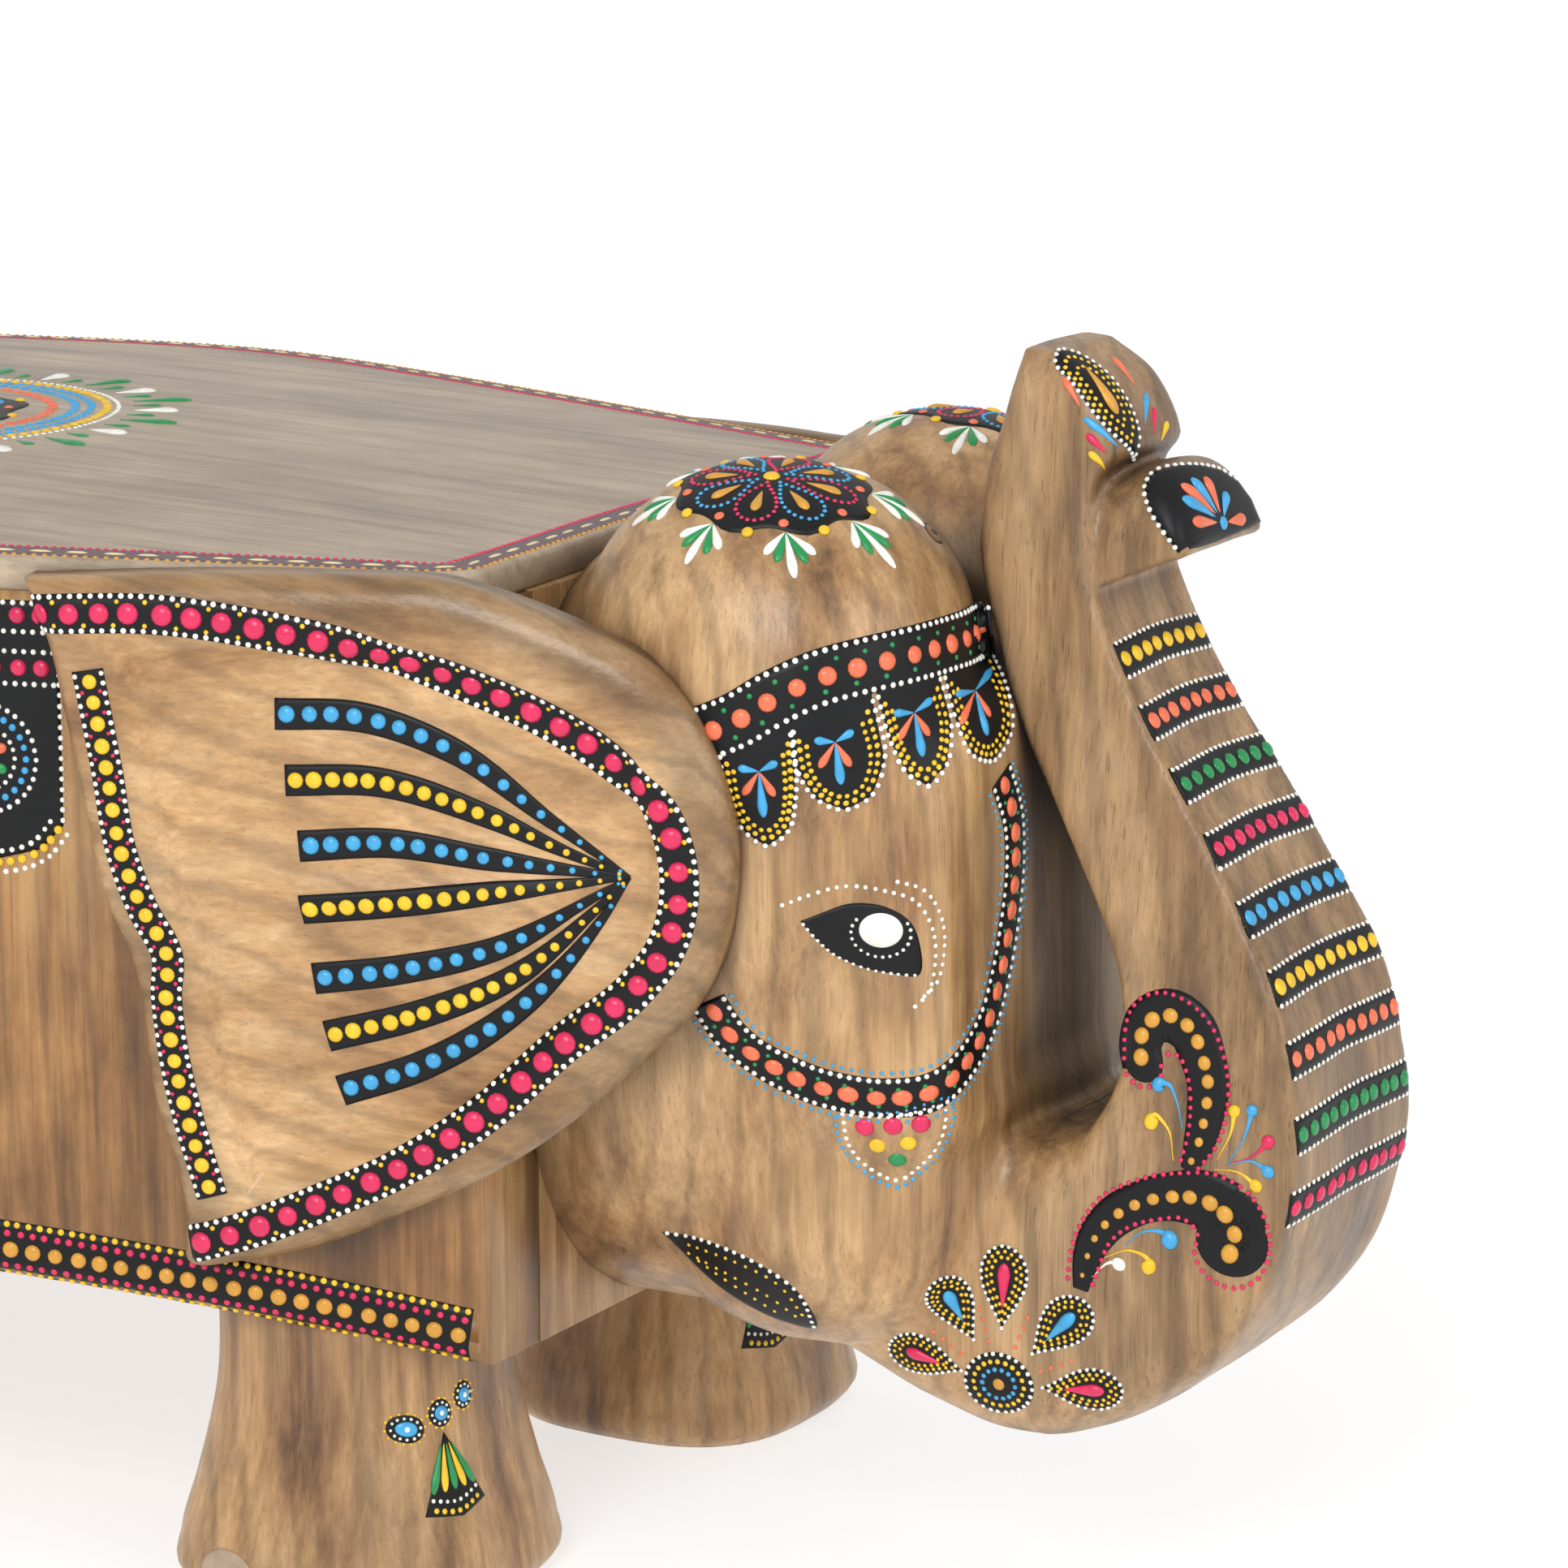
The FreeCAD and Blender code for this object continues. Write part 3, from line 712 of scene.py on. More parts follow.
def drape(target, second, across, up, origin, low, high, step, nearOnly=None):
    # a height map of the carving in a flat sketch frame, on which films, dots and drops of paint are laid
    a, b = np.array(across, float), np.array(up, float)
    n = np.cross(a, b)
    u, v = np.arange(low[0], high[0] + step, step), np.arange(low[1], high[1] + step, step)
    flat = np.stack([*np.meshgrid(u, v, indexing="ij"), np.zeros((len(u), len(v)))], -1).reshape(-1, 3)
    mesh = bpy.data.meshes.new("sheet")
    mesh.from_pydata((flat / 1000).tolist(), [], gridQuads(len(u), len(v), False).tolist())
    sheet = bpy.data.objects.new("sheet", mesh)
    bpy.context.scene.collection.objects.link(sheet)
    away = 1300
    far = (np.array(origin, float) + n * away) / 1000 + seatMiddle
    sheet.matrix_world = Matrix(np.vstack([np.c_[a, b, n, far], [0, 0, 0, 1]]).tolist())
    wrap = sheet.modifiers.new("wrap", "SHRINKWRAP")
    wrap.wrap_method = "PROJECT"
    wrap.use_project_z = True
    wrap.use_negative_direction = True
    wrap.use_positive_direction = False
    wrap.target = target
    wrap.auxiliary_target = second
    bpy.context.view_layer.update()
    graph = bpy.context.evaluated_depsgraph_get()
    wrapped = sheet.evaluated_get(graph).to_mesh()
    co = np.empty(len(flat) * 3)
    wrapped.vertices.foreach_get("co", co)
    depth = co.reshape(len(u), len(v), 3)[..., 2] * 1000 + away
    sheet.evaluated_get(graph).to_mesh_clear()
    bpy.data.objects.remove(sheet)
    missing = depth > away - 1
    if nearOnly is not None:
        y = origin[1] + u[:, None] * a[1] + v[None] * b[1] + depth * n[1]
        missing = missing | (y > nearOnly)
    return makeSheet(a, b, origin, low, step, fillGaps(depth, missing))


def makeSheet(across, up, origin, low, step, depth):
    a, b = np.array(across, float), np.array(up, float)
    return dict(a=a, b=b, n=np.cross(a, b), origin=np.array(origin, float), low=low, step=step, depth=depth)


def fillGaps(depth, missing):
    # where nothing lies below the sheet, the mean of the neighbours that are known, ring after ring
    known = ~missing
    depth = np.where(known, depth, 0)
    for _ in range(40):
        total, count = np.zeros_like(depth), np.zeros_like(depth)
        for move, axis in ((1, 0), (-1, 0), (1, 1), (-1, 1)):
            total += np.roll(depth * known, move, axis)
            count += np.roll(known, move, axis)
        new = ~known & (count > 0)
        depth = np.where(new, total / np.maximum(count, 1), depth)
        known = known | new
    return depth


def readDepth(sheet, uv):
    # bilinear reading of the height map
    g = (uv - sheet["low"]) / sheet["step"]
    shape = sheet["depth"].shape
    g = np.clip(g, 0, [shape[0] - 1.001, shape[1] - 1.001])
    i = g.astype(int)
    f = g - i
    d = sheet["depth"]
    low = d[i[..., 0], i[..., 1]] * (1 - f[..., 0]) + d[i[..., 0] + 1, i[..., 1]] * f[..., 0]
    high = d[i[..., 0], i[..., 1] + 1] * (1 - f[..., 0]) + d[i[..., 0] + 1, i[..., 1] + 1] * f[..., 0]
    return low * (1 - f[..., 1]) + high * f[..., 1]


def lift(sheet, uv):
    # sketch points to points and normals on the carving: the normal is n - slopeU a - slopeV b, made unit
    uv = np.asarray(uv, float)
    r = 2.5
    slopeU = (readDepth(sheet, uv + [r, 0]) - readDepth(sheet, uv - [r, 0])) / (2 * r)
    slopeV = (readDepth(sheet, uv + [0, r]) - readDepth(sheet, uv - [0, r])) / (2 * r)
    depth = readDepth(sheet, uv)
    point = sheet["origin"] + uv[..., :1] * sheet["a"] + uv[..., 1:] * sheet["b"]
    point = point + depth[..., None] * sheet["n"]
    normal = sheet["n"] - slopeU[..., None] * sheet["a"] - slopeV[..., None] * sheet["b"]
    return point, normal / np.linalg.norm(normal, axis=-1, keepdims=True)


def flatten(sheet, points):
    d = points - sheet["origin"]
    return np.stack([d @ sheet["a"], d @ sheet["b"]], -1)


def settle(sheet, points):
    return lift(sheet, flatten(sheet, points))


def triangles(faces):
    tris = [f for f in faces if len(f) == 3]
    quads = np.array([f for f in faces if len(f) == 4], int).reshape(-1, 4)
    return np.concatenate([np.array(tris, int).reshape(-1, 3), quads[:, [0, 1, 2]], quads[:, [0, 2, 3]]])


def addShell(group, verts, faces):
    # keeps a closed shell for the group's mesh, turned outwards: its volume is the sum of a . (b x c) / 6
    tris = triangles(faces)
    a, b, c = (verts[tris[:, k]] for k in range(3))
    if np.einsum("ij,ij->i", a, np.cross(b, c)).sum() < 0:
        tris = tris[:, ::-1]
    paintShells.setdefault(group, []).append((verts, tris))


def alongPath(sheet, path, offset=0.0, closed=False):
    # the path as a fine line on the carving, moved sideways by offset: points, normals, sideways, lengths
    path = list(path) + ([path[0]] if closed else [])
    flat = smoothPath(path, 60 * len(path)) if len(path) > 2 else np.linspace(path[0], path[1], 120)
    for _ in range(2):
        point, normal = lift(sheet, flat)
        chord = np.concatenate([[0], np.cumsum(np.linalg.norm(np.diff(point, axis=0), axis=1))])
        even = np.linspace(0, chord[-1], max(12, int(chord[-1] / 1.5)))
        flat = np.stack([np.interp(even, chord, flat[:, k]) for k in range(2)], -1)
    point, normal = lift(sheet, flat)
    side = np.cross(normal, np.gradient(point, axis=0))
    side /= np.linalg.norm(side, axis=-1, keepdims=True)
    if np.any(offset):
        point, normal = settle(sheet, point + side * np.reshape(offset, (-1, 1)))
    chord = np.concatenate([[0], np.cumsum(np.linalg.norm(np.diff(point, axis=0), axis=1))])
    return point, normal, side, chord


def film(sheet, path, width, group="black", closed=False, rise=0.45):
    # a ribbon of paint: seven points across it that follow the carving, and an underside just inside the wood
    point, _, side, chord = alongPath(sheet, path, closed=closed)
    wide = np.interp(chord / chord[-1], np.linspace(0, 1, np.size(width)), np.atleast_1d(width))
    across = np.linspace(-0.5, 0.5, 7)
    p, n = settle(sheet, point[:, None] + side[:, None] * (across[None] * wide[:, None])[..., None])
    top = p + n * (rise * np.array([0.6, 1, 1, 1, 1, 1, 0.6]))[None, :, None]
    rings = np.concatenate([top, (p - n * 0.6)[:, ::-1]], 1)
    addShell(group, *tube(rings))


def divided(line, longest):
    # the closed outline with its long sides cut into even steps
    sides = [(p, q, max(1, int(np.hypot(*(q - p)) / longest))) for p, q in zip(line, np.roll(line, -1, 0))]
    return np.concatenate([np.linspace(p, q, count, endpoint=False) for p, q, count in sides])


def patch(sheet, outline, group="black", rise=0.45, centre=None, smooth=True):
    # a filled shape seen from one inner point: rings of the outline drawn towards it
    line = np.array(outline, float)
    line = smoothPath(np.vstack([line, line[:1]]), 97)[:-1] if smooth else divided(line, 5.0)
    middle = line.mean(0) if centre is None else np.array(centre, float)
    count = int(np.clip(np.ptp(line, axis=0).max() / 4, 3, 24))
    share = np.concatenate([np.linspace(0.05, 0.93, count), [1.0]])
    p, n = lift(sheet, middle + (line - middle)[None] * share[:, None, None])
    height = np.full((len(share), 1, 1), rise)
    height[-1] = rise * 0.6
    rings = np.concatenate([p + n * height, (p - n * 0.6)[::-1]])
    addShell(group, *tube(rings))


def disc(sheet, centre, radius, group="black", rise=0.45, stretch=1.0):
    turn = np.linspace(0, 2 * math.pi, 40, endpoint=False)
    outline = np.array(centre) + radius * np.c_[stretch * np.cos(turn), np.sin(turn)]
    patch(sheet, outline, group, rise, centre, smooth=False)


def stamp(points, normals, along, radius, group, stretch=1.0, base=0.45, plump=0.42):
    # low domes of paint, one for each point: rings of a unit dome scaled by the radius, longer along the path
    points, normals = points.reshape(-1, 3), normals.reshape(-1, 3)
    sides = 12 if np.max(radius) > 2.2 else 8
    turn = np.linspace(0, 2 * math.pi, sides, endpoint=False)
    levels = [(1.0, -0.8), (1.0, 0.1), (0.62, 0.8)]  # radius and height of each ring
    if sides == 12:
        levels = [(1.0, -0.8), (1.0, 0.0), (0.78, 0.62), (0.4, 0.93)]
    rings = [np.c_[r * np.cos(turn), r * np.sin(turn), np.full(sides, h)] for r, h in levels]
    verts, faces = tube(np.stack(rings))
    verts[-1, 2] = 1.0
    tris = triangles(faces)
    a, b, c = (verts[tris[:, k]] for k in range(3))
    if np.einsum("ij,ij->i", a, np.cross(b, c)).sum() < 0:
        tris = tris[:, ::-1]
    t = np.broadcast_to(along, points.shape)
    t = t - normals * (t * normals).sum(-1, keepdims=True)
    t = t / np.linalg.norm(t, axis=-1, keepdims=True)
    s = np.cross(normals, t)
    r = np.broadcast_to(np.reshape(radius, (-1, 1, 1)), (len(points), 1, 1))
    high = np.maximum(r * plump, 0.55)
    x, y, z = verts[None, :, :1], verts[None, :, 1:2], verts[None, :, 2:]
    rise = np.where(z < 0, z, z * high) + base
    placed = points[:, None] + t[:, None] * x * r * stretch + s[:, None] * y * r + normals[:, None] * rise
    shift = (np.arange(len(points)) * len(verts))[:, None, None]
    paintShells.setdefault(group, []).append((placed.reshape(-1, 3), (tris[None] + shift).reshape(-1, 3)))


def dots(sheet, path, pitch, radius, group, offset=0.0, closed=False, stretch=1.0, base=0.45, ends=0.5):
    # a row of dots at an even pitch along the path; radius may be a list, from the first dot to the last
    jitter = 0.06  # the share by which a hand's dots differ in place and size
    point, _, _, chord = alongPath(sheet, path, offset, closed)
    count = max(1, int(round((chord[-1] - 2 * ends * pitch * (not closed)) / pitch)) + (not closed))
    start = 0 if closed else ends * pitch
    place = np.linspace(start, chord[-1] - start, count + closed)[: count]
    rng = np.random.default_rng(int(chord[-1] * 7) + count)
    place = place + rng.uniform(-jitter, jitter, count) * pitch
    forward = np.gradient(point, axis=0)
    along = np.stack([np.interp(place, chord, forward[:, k]) for k in range(3)], -1)
    p, n = settle(sheet, np.stack([np.interp(place, chord, point[:, k]) for k in range(3)], -1))
    size = np.interp(np.linspace(0, 1, count), np.linspace(0, 1, np.size(radius)), np.atleast_1d(radius))
    size = size * (1 + rng.uniform(-jitter, jitter, count))
    stamp(p, n, along, size, group, stretch, base)


def spots(sheet, places, radius, group, base=0.45, stretch=1.0, along=(1, 0, 0)):
    p, n = lift(sheet, np.array(places, float).reshape(-1, 2))
    stamp(p, n, np.array(along, float), radius, group, stretch, base)


def drop(sheet, root, crown, width, group, base=0.45, plump=0.32):
    # a teardrop, pointed at its root: it widens as a power of the length, then closes as a circle
    root, crown = np.array(root, float), np.array(crown, float)
    widest = 0.72
    t = np.concatenate([np.linspace(0.02, widest, 8), widest + 0.28 * np.sin(np.linspace(0.3, 1.5, 6))])
    cap = np.sqrt(np.clip(1 - ((t - widest) / 0.282) ** 2, 0.01, 1))
    wide = width / 2 * np.where(t < widest, (t / widest) ** 0.8, cap)
    stroke(sheet, root + (crown - root) * t[:, None], wide, group, base, plump)


def curl(sheet, path, width, group):
    # a brush line from a thin tail to a round blob at the head, whose circle has the line's full width
    line = smoothPath(path, 80)
    length = np.linalg.norm(np.diff(line, axis=0), axis=1).sum()
    t = np.linspace(0, 1, 80)
    fromHead = (1 - t) * length
    blob = np.sqrt(np.clip((width / 2) ** 2 - (fromHead - width / 2) ** 2, 0, None))
    thin = (0.2 + 0.3 * width * t**2.5) * ramp(fromHead, 0, 1.0)
    stroke(sheet, line, np.maximum(np.maximum(blob, thin), 0.1), group, base=0.05, plump=0.3)


def stroke(sheet, line, wide, group, base, plump):
    # a brush stroke of the given half widths, with a half-round section of seven points
    p, n = lift(sheet, line)
    side = np.cross(n, np.gradient(p, axis=0))
    side /= np.linalg.norm(side, axis=-1, keepdims=True)
    across = np.linspace(-1, 1, 7)
    q, m = settle(sheet, p[:, None] + side[:, None] * (across[None] * wide[:, None])[..., None])
    high = base + np.maximum(wide * 2 * plump, 0.3)[:, None] * np.sqrt(np.clip(1 - across**2, 0.03, 1))[None]
    rings = np.concatenate([q + m * high[..., None], (q + m * (base - 0.9))[:, ::-1]], 1)
    addShell(group, *tube(rings))


def finishPaint(region, mirrored):
    # one mesh for each colour of a region, and its mirror image for the elephant's other side
    for group, shells in paintShells.items():
        for sign in (1, -1) if mirrored else (1,):
            verts, tris, start = [], [], 0
            for v, f in shells:
                verts.append(v * [1, sign, 1])
                tris.append((f if sign > 0 else f[:, ::-1]) + start)
                start += len(v)
            kind = "carved" if slots.get(group) == "mango_wood" else "paint"
            name = f"{kind}_{region}_{group}" + ("_left" if sign < 0 else "")
            mesh = bpy.data.meshes.new(name)
            places = np.concatenate(verts) / 1000 + seatMiddle
            mesh.from_pydata(places.tolist(), [], np.concatenate(tris).tolist())
            mesh.polygons.foreach_set("use_smooth", [True] * len(mesh.polygons))
            mesh.materials.append(paints[group])
            piece = bpy.data.objects.new(name, mesh)
            bpy.context.scene.collection.objects.link(piece)
            finishPiece(piece, slots.get(group, "paint_" + group))
    total = sum(len(f) for shells in paintShells.values() for _, f in shells)
    paintShells.clear()
    print("painted", region, total, "triangles")


def makePaint(name, rgb, rough):
    material = bpy.data.materials.new(name + "Paint")
    material.use_nodes = True
    nodes, links, add = nodeTools(material)
    shader = nodes["Principled BSDF"]
    place = add("ShaderNodeTexCoord").outputs["Object"]
    cloud = add("ShaderNodeTexNoise", {"Vector": place, "Scale": 160.0, "Detail": 3.0}).outputs[0]
    between = {"Value": cloud, "From Min": 0.3, "From Max": 0.7, "To Min": 0.86, "To Max": 1.1}
    shade = add("ShaderNodeMapRange", between).outputs[0]
    toned = add("ShaderNodeVectorMath", {0: colour(rgb)[:3], "Scale": shade}, operation="SCALE")
    links.new(toned.outputs[0], shader.inputs["Base Color"])
    shader.inputs["Roughness"].default_value = rough
    shader.inputs["Specular IOR Level"].default_value = 0.3 if name == "black" else 0.5
    return material


paintShells = {}
slots = dict(border="paint_black", cream="paint_white", nail="mango_wood", knot="mango_wood",
             plug="mango_wood")
paints = dict(
    black=makePaint("black", (9, 10, 13), 0.45),
    pink=makePaint("pink", (214, 36, 88), 0.3),
    yellow=makePaint("yellow", (236, 190, 34), 0.3),
    gold=makePaint("gold", (208, 150, 52), 0.32),
    blue=makePaint("blue", (62, 160, 212), 0.3),
    green=makePaint("green", (26, 138, 74), 0.3),
    coral=makePaint("coral", (232, 112, 76), 0.3),
    white=makePaint("white", (236, 236, 228), 0.35),
    border=makePaint("border", (104, 84, 88), 0.5),
    cream=makePaint("cream", (226, 208, 160), 0.4),
    nail=makePaint("nail", (170, 148, 126), 0.45),
    knot=makePaint("knot", (62, 42, 28), 0.5),
    plug=makePaint("plug", (124, 94, 66), 0.42),
)
# the colours by name; a film is black unless another is given
pink, yellow, gold, blue, green, coral, white, border, cream, nail, knot, plug = list(paints)[1:]


# a pink-dotted rim, a yellow-dotted rear band and seven rays that meet near the front
earPattern = dict(
    rim=[(5, 411), (58, 413), (106, 408), (148, 400), (186, 388), (218, 374), (240, 360), (256, 345),
         (264, 318), (259, 292), (246, 274), (217, 250), (185, 220), (152, 197), (118, 180), (88, 167),
         (64, 159)],
    rear=[(28, 390), (35, 350), (40, 318), (48, 296), (58, 276), (57, 262), (59, 240), (66, 207), (74, 180)],
    meet=(243, 317),
    rays=[[(102, 375), (138, 375), (173, 364), (212, 338)], [(106, 349), (144, 350), (186, 339), (218, 326)],
          [(111, 323), (147, 326), (186, 322)], [(112, 298), (153, 303), (202, 311)],
          [(116, 270), (153, 276), (192, 287), (228, 308)], [(121, 247), (159, 258), (198, 276), (230, 304)],
          [(126, 225), (159, 237), (198, 262), (232, 300)]],
)


def paintEar():
    foot, along, _ = earFrame(nearSide)
    panel = bpy.data.objects["rightEarCarving"]
    sheet = drape(panel, None, along, (0, 0, 1), foot, low=(-10, 140), high=(300, 440), step=1.5)
    rim = earPattern["rim"]
    film(sheet, rim, 15.5)
    dots(sheet, rim, 12.6, 4.3, pink)
    for offset in (-6.7, 6.7):
        dots(sheet, rim, 4.2, 1.15, white, offset)
    for offset in (-4.6, 4.6):
        dots(sheet, rim, 12.6, 1.0, yellow, offset, ends=1.0)
    rear = earPattern["rear"]
    film(sheet, rear, 13)
    dots(sheet, rear, 8.8, 3.1, yellow)
    for offset in (-5.5, 5.5):
        dots(sheet, rear, 3.9, 1.05, white, offset)
    for offset in (-3.7, 3.7):
        dots(sheet, rear, 8.8, 0.9, pink, offset, ends=1.0)
    for i, ray in enumerate(earPattern["rays"]):
        path = ray + [earPattern["meet"]]
        film(sheet, path, [12.5, 12, 11, 9, 5, 1.5])
        dots(sheet, path, 7.6 if i % 2 else 9.0, [3.3, 3.2, 3.0, 2.5, 1.5, 0.8], yellow if i % 2 else blue)
    finishPaint("ear", True)


def paintBand(sheet, path, width, rows):
    # a black film with rows of dots: each row is (offset, pitch, radius, colour, stretch)
    film(sheet, path, width)
    for offset, pitch, radius, group, stretch in rows:
        dots(sheet, path, pitch, radius, group, offset, stretch=stretch)


# paint on the face, in mm on a sheet turned 30 degrees from the side: across it, and above the floor
face.update(
    headband=[(360, 373), (374, 380), (388, 389), (403, 396), (419, 400), (434, 402), (450, 403),
              (464, 402.5), (473, 401)],
    scallops=[((367, 367), (370, 348), (377, 334), (385, 329), (393, 335), (396, 349), (395, 378)),
              ((394, 377), (397, 360), (404, 349), (415, 344), (425, 349), (430, 363), (425, 389)),
              ((427, 390), (432, 371), (439, 357), (447, 352), (454, 359), (456, 373), (451, 393)),
              ((453, 393), (458, 374), (465, 360), (473, 356), (480, 364), (479, 379), (472, 393))],
    bridle=[(362, 264), (371, 250), (383, 240), (398, 233), (415, 229), (433, 228), (451, 231), (463, 240),
            (471, 252), (476, 268), (480, 290), (482, 311), (481, 331), (476, 349)],
    eye=[(398, 299.5), (407, 303), (418, 306.5), (430, 306), (440, 300), (444, 290), (443.5, 278),
         (434, 278.5), (421, 280.5), (411, 285), (404, 292)],
    brow=[(389, 305), (402, 310), (416, 313), (430, 312), (442, 308), (449, 296), (450, 282), (447, 270),
          (441, 264)],
    pendant=[(411, 222), (434, 222), (457, 226), (456, 210), (447, 196), (437, 188), (425, 193), (414, 206)],
    leaf=[(343, 157), (364, 156), (383, 150), (397, 140), (404, 121), (390, 123), (373, 131), (356, 143)],
    flower=(477, 103),
    leafRows=[[(352, 153), (372, 150), (390, 142), (400, 127)],
              [(352, 149), (370, 143), (388, 134), (398, 126)], [(356, 147), (372, 138), (390, 127)]],
    petals=[(120, 20, 50, blue), (88, 24, 58, pink), (50, 20, 52, blue), (6, 17, 48, pink),
            (168, 15, 44, pink)],
    topVine=[(531, 240), (530, 249), (534, 258), (541, 261), (549, 257), (553, 248), (555.5, 237),
             (554.5, 225), (552, 213), (548, 202)],
    topEdge=[(538, 243), (537, 235), (531, 232), (525, 236), (524, 246), (525, 257), (530, 266), (539, 269.5),
             (548, 267), (556, 260), (561, 249), (563, 237), (562, 224), (558, 212), (551, 202)],
    topInner=[(539, 246), (544, 246), (548, 238), (549, 227), (548, 215), (545, 204)],
    lowVine=[(508, 148), (510, 160), (514, 171), (521, 180), (532, 187.5), (544, 191), (555, 191),
             (562, 187)],
    lowDots=[(508, 150), (510, 160), (514, 171), (521, 180), (532, 187.5), (544, 191), (555, 191), (562, 187),
             (566, 179), (563, 168)],
    lowEdge=[(503, 150), (504, 162), (508, 175), (516, 187), (530, 196), (545, 200.5), (558, 202), (570, 197),
             (577, 187), (579, 174), (575, 163), (566, 158), (556, 161), (551, 169), (552, 178), (547, 182.5),
             (537, 181), (527, 177), (519, 169), (515, 158), (512, 149)],
)


def paintFace():
    block, snout = bpy.data.objects["headCarving"], bpy.data.objects["trunkCarving"]
    across, up, origin = (*polar(30), 0), (0, 0, 1), (0, 0, 0)
    sheet = drape(block, snout, across, up, origin, low=(330, 80), high=(600, 460), step=1.5, nearOnly=-30)
    edgeDots = [(offset, 4.1, 1.15, white, 1.0) for offset in (-9.6, 9.6)]
    paintBand(sheet, face["headband"], 22, [(0, 12.6, 3.7, coral, 1.0)] + edgeDots)
    for offset in (-5.6, 5.6):
        dots(sheet, face["headband"], 12.6, 1.1, green, offset, ends=1.0)
    for lobe in face["scallops"]:
        paintScallop(sheet, np.array(lobe, float))
    edgeDots = [(offset, 3.8, 1.1, white, 1.0) for offset in (-7.1, 7.1)]
    paintBand(sheet, face["bridle"], 16.5, [(0, 10.8, 3.3, coral, 1.25)] + edgeDots)
    for offset in (-3.4, 3.4):
        dots(sheet, face["bridle"], 10.8, 1.0, green, offset, ends=1.0)
    for offset in (-10.4, 10.4):
        dots(sheet, face["bridle"], 3.9, 0.9, blue, offset, base=0.0)
    paintEye(sheet)
    for share, group in ((1.0, blue), (0.86, white)):
        dots(sheet, shrunk(face["pendant"], share), 3.6, 1.0, group, closed=True, base=0.0)
    spots(sheet, [(423, 215), (434, 216), (445, 217)], 3.9, pink, base=0.0)
    spots(sheet, [(428, 207), (440, 208.5)], 3.4, yellow, base=0.0)
    spots(sheet, [(436, 200.5)], 3.7, green, base=0.0)
    patch(sheet, face["leaf"])
    dots(sheet, face["leaf"][:5], 4.0, 1.0, white)
    for row in face["leafRows"]:
        dots(sheet, row, 4.6, 0.8, yellow)
    paintFlower(sheet)
    paintVines(drape(snout, None, across, up, origin, low=(470, 80), high=(620, 460), step=1.5))
    finishPaint("face", True)


def paintScallop(sheet, line):
    # a lobe below the headband: a film that runs up under the band, three rows of dots and five drops
    under = np.array([0, 9])
    top, low = (line[0] + line[-1]) / 2, line[3]
    outline = np.vstack([line[0] + under, line, line[-1] + under, top + under])
    patch(sheet, outline, rise=0.4, centre=line.mean(0), smooth=False)
    for share, radius, group, pitch in ((1.0, 1.1, white, 3.9), (0.84, 1.15, yellow, 3.6),
                                        (0.68, 1.05, yellow, 3.4)):
        dots(sheet, shrunk(line, share), pitch, radius, group, base=0.4)
    heart = top * 0.72 + low * 0.28
    drop(sheet, heart, top * 0.28 + low * 0.72, 4.0, blue)
    for reach, group in (((-6, -10), coral), ((6, -10), coral), ((-8, 1), blue), ((7, 4), blue)):
        drop(sheet, heart, heart + reach, 3.4, group)


def paintEye(sheet):
    patch(sheet, face["eye"])
    disc(sheet, (429, 296.5), 7.0, white, 0.9, 1.2)
    ring = [(429 + 11.5 * math.cos(a), 295.0 + 9.6 * math.sin(a)) for a in np.linspace(2.4, 6.9, 12)]
    dots(sheet, ring, 3.0, 0.75, white)
    lower = face["eye"][6:] + face["eye"][:1]
    dots(sheet, lower, 3.0, 0.8, white, base=0.2)
    for path in (face["brow"], [(x + 3.5, z + 4.0) for x, z in face["brow"][3:]]):
        dots(sheet, path, 3.7, 0.9, white, base=0.0)


def petalShape(centre, degrees, inner, outer, width, count=24):
    # a teardrop outline: pointed at the inner end and round at the outer one
    turn = np.linspace(0, 2 * math.pi, count, endpoint=False)
    share = 0.5 - 0.5 * np.cos(turn)
    half = np.sin(turn) * np.sin(np.clip(share, 0, 1) * math.pi / 2) ** 0.8 * width / 2 * 1.12
    out = polar(degrees)
    across = np.array([-out[1], out[0]])
    return centre + out * (inner + (outer - inner) * share)[:, None] + across * half[:, None]


def paintFlower(sheet):
    centre = np.array(face["flower"], float)
    for degrees, inner, outer, group in face["petals"]:
        patch(sheet, petalShape(centre, degrees, inner, outer, 19), smooth=False)
        for width, reach, rowGroup in ((19, 0, white), (14.5, 2.2, yellow), (10.5, 4.4, yellow)):
            outline = petalShape(centre, degrees, inner + reach * 1.6, outer - reach, width)
            dots(sheet, outline[::2], 3.1, 0.85, rowGroup, closed=True)
        out = polar(degrees)
        drop(sheet, centre + out * (inner + 8), centre + out * (outer - 7), 5.4, group)
    disc(sheet, centre, 13.5)
    for radius, size, group, pitch in ((13.0, 0.95, white, 3.4), (9.8, 1.1, yellow, 3.3),
                                       (6.4, 1.1, blue, 3.2)):
        dots(sheet, circle(centre, radius, 12), pitch, size, group, closed=True)
    spots(sheet, centre, 2.6, gold)
    for degrees in (28, 70, 104, 145):
        spots(sheet, [centre + polar(degrees) * r for r in (18, 22.5, 27, 31.5)], 0.95, coral, base=0.0)


